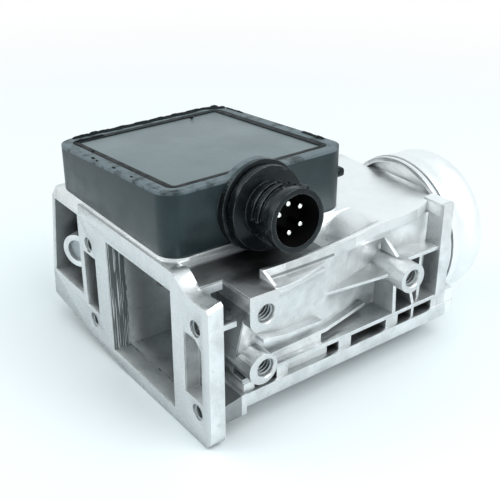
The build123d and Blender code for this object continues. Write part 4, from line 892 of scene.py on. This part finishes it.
@dataclass
class TappedHoles:
    """Screw threads cut in the bracket bosses and the flange."""

    bracket_holes: tuple[Point, ...] = ((53.3, 23.2, 22.4), (53.3, 23.2, -1.2), (53.3, 98.2, 12.2))
    bracket_radius: float = 3.75
    bracket_sunk: float = 1.6
    bracket_turns: int = 8
    flange_x: float = 41.2
    flange_z: float = 18.45
    flange_corners: tuple[tuple[int, int], ...] = ((-1, -1), (-1, 1), (1, -1), (1, 1))
    flange_radius: float = 3.45
    flange_sunk: float = 0.8
    flange_turns: int = 3
    pitch: float = 1.5
    ridge: float = 0.62
    steps: int = 28
    smooth_deg: float = 40.0

    def model(self, radius: float, turns: int) -> Piece:
        """Models one thread along +Z that starts at the origin.

        Args:
            radius: the hole's radius in millimetres.
            turns: how many turns it has.

        Returns:
            The thread.
        """
        deselect()
        bpy.ops.mesh.primitive_circle_add(vertices=3, radius=self.ridge * MM, location=(0, 0, 0))
        piece = bpy.context.object
        with editing(piece):
            for turn_deg, axis in ((90, "X"), (-90, "Y")):
                bpy.ops.transform.rotate(
                    value=math.radians(turn_deg),
                    orient_axis=axis,
                    orient_type="GLOBAL",
                    center_override=(0, 0, 0),
                )
            bpy.ops.transform.translate(value=(radius * MM, 0, 0))
        apply_modifier(
            piece,
            "SCREW",
            angle=math.radians(360),
            screw_offset=self.pitch * MM,
            iterations=turns,
            steps=self.steps,
            render_steps=self.steps,
            use_merge_vertices=False,
        )
        with editing(piece):
            bpy.ops.mesh.select_all(action="DESELECT")
            bpy.ops.mesh.select_non_manifold()
            bpy.ops.mesh.edge_face_add()
            bpy.ops.mesh.select_all(action="SELECT")
            bpy.ops.mesh.normals_make_consistent(inside=False)
        return piece

    def _copy_to(self, source: Piece, name: str, mouth: Point, turn: Matrix) -> Piece:
        """Copies a thread into a hole.

        Args:
            source: the modelled thread.
            name: the copy's name.
            mouth: where the thread starts.
            turn: the turn from +Z into the hole.

        Returns:
            The copy.
        """
        piece = bpy.data.objects.new(name, source.data.copy())
        bpy.context.scene.collection.objects.link(piece)
        piece.matrix_world = Matrix.Translation(metres(mouth)) @ turn
        return settle(piece, self.smooth_deg)

    def build(self) -> list[Piece]:
        """Models the threads and puts one in each hole.

        Returns:
            The threads.
        """
        made = []
        wide = self.model(self.bracket_radius, self.bracket_turns)
        inward = Matrix.Rotation(math.radians(-90), 4, "Y")
        for index, (x, y, z) in enumerate(self.bracket_holes, start=1):
            mouth = (x - self.bracket_sunk, y, z)
            made.append(self._copy_to(wide, f"bracket_thread_{index}", mouth, inward))
        narrow = self.model(self.flange_radius, self.flange_turns)
        rearward = Matrix.Rotation(math.radians(-90), 4, "X")
        for index, (side, height) in enumerate(self.flange_corners, start=1):
            mouth = (side * self.flange_x, self.flange_sunk, height * self.flange_z)
            made.append(self._copy_to(narrow, f"flange_thread_{index}", mouth, rearward))
        for source in (wide, narrow):
            bpy.data.objects.remove(source, do_unlink=True)
        for piece in made:
            paint(piece, THREAD)
            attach(piece, HOUSING)
        return made


@dataclass
class Casting:
    """The die-cast body and its bottom cover with softened edges, and the foot of the side wall."""

    edge_mm: float = 0.5
    foot_low: Point = (36.0, 18.6, -9.7)
    foot_high: Point = (44.5, 57.6, -2.4)

    def build(self) -> list[Piece]:
        """Rounds the castings' edges and adds the side wall's thick foot under its lowest rib.

        Returns:
            The two castings and the foot.
        """
        made = []
        for node, name in (("meter_body", "cast_body"), ("bottom_cover", "cast_cover")):
            piece = softened(node, name, self.edge_mm)
            paint(piece, CAST)
            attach(piece, HOUSING)
            made.append(piece)
        piece = rounded_block("wall_foot", self.foot_low, self.foot_high, self.edge_mm, 2)
        paint(piece, CAST)
        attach(piece, HOUSING)
        return [*made, piece]


@dataclass
class SensorBox:
    """The black box with its lid, plug socket and rear catch, and the sealant round the lid."""

    edge_mm: float = 0.6
    lid_edge_mm: float = 0.35
    bore_mm: float = 10.08
    bore_long_mm: float = 40.0
    barrel_from_mm: float = 22.6
    bore_slot: int = 1
    barrel_slot: int = 2
    box_middle: tuple[float, float] = (-24.25, 45.1)
    groove_size: tuple[float, float] = (81.8, 75.9)
    groove_corner_mm: float = 4.0
    groove_segments: int = 6
    bead_wide_mm: float = 3.0
    bead_top_mm: float = 60.83
    bead_deep_mm: float = 0.8
    bead_edge_mm: float = 0.35
    bead_sharp_deg: float = 50.0
    tab_low: Point = (10.5, 87.4, 46.4)
    tab_high: Point = (16.0, 92.2, 50.2)
    tab_round_mm: float = 1.2

    def _line_bore(self, piece: Piece) -> None:
        """Gives the plug socket a darker, less shiny copy of the case's finish as painted shade,
        and its inside a dull one.

        Args:
            piece: the box.
        """
        piece.data.materials.append(BORE.build())
        piece.data.materials.append(BARREL.build())
        axis = Vector((math.cos(TILT), 0.0, math.sin(TILT)))
        reach, radius = self.bore_long_mm * MM, self.bore_mm * MM
        inside = []
        for vertex in piece.data.vertices:
            offset = vertex.co - metres(SOCKET_AT)
            out = offset.dot(axis)
            inside.append(0.0 < out < reach and (offset - axis * out).length < radius)
        for face in piece.data.polygons:
            if all(inside[index] for index in face.vertices):
                face.material_index = self.bore_slot
            elif face.center.x > self.barrel_from_mm * MM:
                face.material_index = self.barrel_slot

    def _fill_groove(self) -> Piece:
        """Lays the bead of sealant, nearly flush with the rim, that laps over the lid's edge.

        Returns:
            The bead.
        """
        long_x, long_y = self.groove_size
        bpy.ops.mesh.primitive_plane_add(size=1.0)
        piece = bpy.context.object
        piece.name = "groove_sealant"
        piece.scale = (long_x * MM / math.cos(TILT), long_y * MM, 1.0)
        bpy.ops.object.transform_apply(scale=True)
        with editing(piece):
            bpy.ops.mesh.bevel(
                offset=self.groove_corner_mm * MM,
                segments=self.groove_segments,
                affect="VERTICES",
                clamp_overlap=False,
            )
            bpy.ops.mesh.select_all(action="SELECT")
            bpy.ops.mesh.subdivide(number_cuts=2)
            bpy.ops.mesh.select_all(action="SELECT")
            bpy.ops.mesh.dissolve_faces()
            bpy.ops.mesh.inset(thickness=self.bead_wide_mm * MM, depth=0.0)
            bpy.ops.mesh.delete(type="ONLY_FACE")
            bpy.ops.mesh.select_all(action="SELECT")
            drop = {"value": (0.0, 0.0, -self.bead_deep_mm * MM)}
            bpy.ops.mesh.extrude_region_move(TRANSFORM_OT_translate=drop)
            bpy.ops.mesh.select_all(action="SELECT")
            bpy.ops.mesh.normals_make_consistent(inside=False)
        middle_x, middle_y = self.box_middle
        top = self.bead_top_mm + middle_x * math.tan(TILT)
        piece.rotation_euler = (0.0, -TILT, 0.0)
        piece.location = metres((middle_x, middle_y, top))
        bpy.ops.object.transform_apply(location=True, rotation=True)
        soften(piece, self.bead_edge_mm, 2, angle_limit=math.radians(self.bead_sharp_deg))
        settle(piece, self.bead_sharp_deg)
        paint(piece, SEALANT)
        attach(piece, HOUSING)
        return piece

    def build(self) -> list[Piece]:
        """Rounds the box and the lid, and adds the bead and the catch on the box's rear face.

        Returns:
            The pieces.
        """
        made = []
        for node, name, width, finish in (
            ("case", "moulded_case", self.edge_mm, CASE),
            ("lid", "satin_lid", self.lid_edge_mm, LID),
        ):
            piece = softened(node, name, width)
            paint(piece, finish)
            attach(piece, HOUSING)
            made.append(piece)
        self._line_bore(made[0])
        made.append(self._fill_groove())
        piece = rounded_block("rear_tab", self.tab_low, self.tab_high, self.tab_round_mm, 3)
        paint(piece, BARREL)
        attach(piece, HOUSING)
        return [*made, piece]


@dataclass
class SealantBead:
    """Sealing compound squeezed out along the rim: uneven beads and single lumps.

    Attributes:
        runs: for each bead the x and y of both its ends, its half height and its number of lumps.
        lumps: for each single lump its x, its y and its three half sizes.
        overlap: how far a bead's lumps reach along it, in half heights.
        waves: how much a bead swells, and how fast, in two waves.
    """

    runs: tuple[tuple[float, float, float, float, float, int], ...] = (
        (-69.0, 12.0, -69.0, 79.0, 0.85, 34),
        (-67.6, 26.0, -67.6, 72.0, 0.45, 26),
        (-68.6, 79.0, -64.0, 86.0, 0.70, 7),
        (-62.0, 87.0, -50.0, 87.1, 0.40, 8),
        (-5.0, 86.9, 7.0, 86.6, 0.60, 7),
        (-64.3, 10.0, -64.4, 22.0, 0.45, 8),
        (-62.6, 7.9, -56.0, 7.8, 0.35, 5),
    )
    lumps: tuple[tuple[float, float, float, float, float], ...] = (
        (-69.2, 21.0, 1.4, 3.2, 1.3),
        (-69.1, 27.5, 1.2, 2.6, 0.9),
        (-67.4, 83.0, 1.8, 2.6, 1.3),
        (-37.5, 4.0, 1.5, 0.7, 0.5),
        (-33.0, 3.4, 0.8, 0.6, 0.5),
        (-20.5, 4.2, 1.4, 0.6, 0.5),
        (-6.0, 3.9, 1.0, 0.6, 0.4),
        (5.0, 86.2, 2.0, 1.3, 1.0),
        (-46.0, 8.3, 0.8, 0.6, 0.4),
        (-60.5, 66.0, 0.7, 1.0, 0.6),
    )
    overlap: float = 1.5
    waves: tuple[Span, Span] = ((0.22, 1.3), (0.12, 3.1))
    uneven_mm: float = 0.12
    smoothing: float = 0.4
    first_seed: int = 3
    smooth_deg: float = 80.0

    def _places(self) -> list[tuple[float, float, float, float, float]]:
        """Lists every lump, with the beads broken up into lumps of uneven size.

        Returns:
            For each lump its x, y and its three half sizes in millimetres.
        """
        places = list(self.lumps)
        (slow, slow_rate), (fast, fast_rate) = self.waves
        for x0, y0, x1, y1, size, count in self.runs:
            along_x = size * self.overlap + abs(x1 - x0) / count
            along_y = size * self.overlap + abs(y1 - y0) / count
            for step in range(count):
                share = (step + 0.5) / count
                swell = slow * math.sin(slow_rate * step) + fast * math.sin(fast_rate * step + x0)
                x, y = x0 + (x1 - x0) * share, y0 + (y1 - y0) * share
                places.append((x, y, along_x, along_y, size * (1.0 + swell)))
        return places

    def build(self) -> list[Piece]:
        """Models the lumps as one piece.

        Returns:
            The piece in a list.
        """
        made = []
        for index, (x, y, half_x, half_y, height) in enumerate(self._places()):
            deselect()
            at = metres((x, y, RIM_MM + x * math.tan(TILT)))
            bpy.ops.mesh.primitive_ico_sphere_add(subdivisions=2, radius=1.0, location=at)
            lump = bpy.context.object
            lump.scale = metres((half_x, half_y, height))
            bpy.ops.object.transform_apply(location=True, rotation=True, scale=True)
            with editing(lump):
                bpy.ops.transform.vertex_random(
                    offset=self.uneven_mm * MM, seed=index + self.first_seed
                )
                bpy.ops.mesh.vertices_smooth(factor=self.smoothing, repeat=1)
            made.append(lump)
        pick(made[0])
        for lump in made:
            lump.select_set(True)
        bpy.ops.object.join()
        piece = bpy.context.object
        piece.name = "sealant_bead"
        settle(piece, self.smooth_deg)
        paint(piece, SEALANT)
        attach(piece, HOUSING)
        return [piece]


# ---- the studio


@dataclass
class Studio:
    """Floor, lights, world and camera.

    Each lamp has its name, its place, the side of its square and its power in watts.
    """

    floor_z: float = -32.0
    floor_side: float = 6.0
    floor_colour: Colour = (0.87, 0.93, 0.95)
    floor_roughness: float = 0.55
    floor_fade: Span = (0.16, 0.75)  # metres from the middle where it turns white
    camera_at: Point = (276.58, -148.17, 193.46)
    camera_aim: Point = (4.011, 51.836, 19.06)
    lens_mm: float = 65.72
    sensor_mm: float = 36.0
    nearest: float = 0.01
    ambient: float = 0.73
    tint: Colour = (0.91, 0.98, 1.0)
    lamp_aim: Point = (0.0, 60.0, 10.0)
    lamps: tuple[tuple[str, Point, float, float], ...] = (
        ("key", (560.0, 260.0, 760.0), 700.0, 5.2),
        ("fill", (-420.0, -520.0, 560.0), 600.0, 2.0),
        ("side", (760.0, 120.0, 210.0), 600.0, 0.35),
    )

    def build(self) -> None:
        """Sets up everything round the object."""
        self._floor()
        self._world()
        for name, at, side, power in self.lamps:
            data = bpy.data.lights.new(name, "AREA")
            data.size = side * MM
            data.energy = power
            self._stand(name, data, at, self.lamp_aim)
        self._camera()
        bpy.context.scene.view_settings.view_transform = "Standard"

    def _floor(self) -> None:
        """Adds a wide pale floor that fades into the white background."""
        deselect()
        bpy.ops.mesh.primitive_plane_add(size=self.floor_side, location=(0, 0, self.floor_z * MM))
        floor = bpy.context.object
        floor.name = "studio_floor"
        material = bpy.data.materials.new("floor")
        material.use_nodes = True
        wires = Wiring(material.node_tree)
        shader = material.node_tree.nodes["Principled BSDF"]
        wires.join((*self.floor_colour, 1.0), shader.inputs["Base Color"])
        wires.join(self.floor_roughness, shader.inputs["Roughness"])
        place = wires.add("ShaderNodeTexCoord").outputs["Object"]
        length = wires.add("ShaderNodeVectorMath", operation="LENGTH")
        wires.join(place, length.inputs[0])
        far = wires.ramp(length.outputs["Value"], self.floor_fade)
        path = wires.add("ShaderNodeLightPath").outputs
        seen = wires.value("MAXIMUM", path["Is Camera Ray"], path["Is Glossy Ray"])
        glow = wires.add("ShaderNodeEmission")
        wires.join((*WHITE, 1.0), glow.inputs["Color"])
        mixer = wires.add("ShaderNodeMixShader")
        faded = wires.value("MULTIPLY", far, seen)
        for index, item in enumerate((faded, shader.outputs[0], glow.outputs[0])):
            wires.join(item, mixer.inputs[index])
        output = material.node_tree.nodes["Material Output"]
        wires.join(mixer.outputs[0], output.inputs["Surface"])
        floor.data.materials.append(material)

    def _world(self) -> None:
        """Sets a white background over soft grey ambient light."""
        world = bpy.data.worlds.new("studio")
        bpy.context.scene.world = world
        world.use_nodes = True
        wires = Wiring(world.node_tree)
        back = world.node_tree.nodes["Background"]
        path = wires.add("ShaderNodeLightPath").outputs
        seen = wires.value("MAXIMUM", path["Is Camera Ray"], path["Is Glossy Ray"])
        seen = wires.value("MAXIMUM", seen, path["Is Transmission Ray"])
        strength = wires.value("MULTIPLY", seen, 1.0 - self.ambient)
        wires.join(wires.value("ADD", strength, self.ambient), back.inputs["Strength"])
        tinted = wires.blend(path["Is Camera Ray"], self.tint, WHITE)
        wires.join(tinted, back.inputs["Color"])

    def _stand(self, name: str, data: bpy.types.ID, at: Point, aim: Point) -> Piece:
        """Stands a lamp or the camera somewhere and turns it to a point.

        Args:
            name: the object's name.
            data: the lamp's or the camera's data.
            at: where it stands, in millimetres.
            aim: the point it faces, in millimetres.

        Returns:
            The object.
        """
        thing = bpy.data.objects.new(name, data)
        thing.location = metres(at)
        line = metres(aim) - thing.location
        thing.rotation_euler = line.to_track_quat("-Z", "Y").to_euler()
        bpy.context.scene.collection.objects.link(thing)
        return thing

    def _camera(self) -> None:
        """Adds the camera at the photograph's angle."""
        data = bpy.data.cameras.new("camera")
        data.lens = self.lens_mm
        data.sensor_width = self.sensor_mm
        data.clip_start = self.nearest
        camera = self._stand("camera", data, self.camera_at, self.camera_aim)
        bpy.context.scene.camera = camera


def main() -> None:
    """Builds the dressed meter and its studio."""
    logging.basicConfig(level=logging.INFO, format="%(name)s %(message)s")
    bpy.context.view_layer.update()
    dress_nodes()
    for assembly in (Casting(), SensorBox(), SealantBead(), TappedHoles()):
        for piece in assembly.build():
            faces = len(piece.data.polygons)
            LOG.info("%s: %s has %d faces", type(assembly).__name__, piece.name, faces)
    Studio().build()


if __name__ == "__main__":
    main()
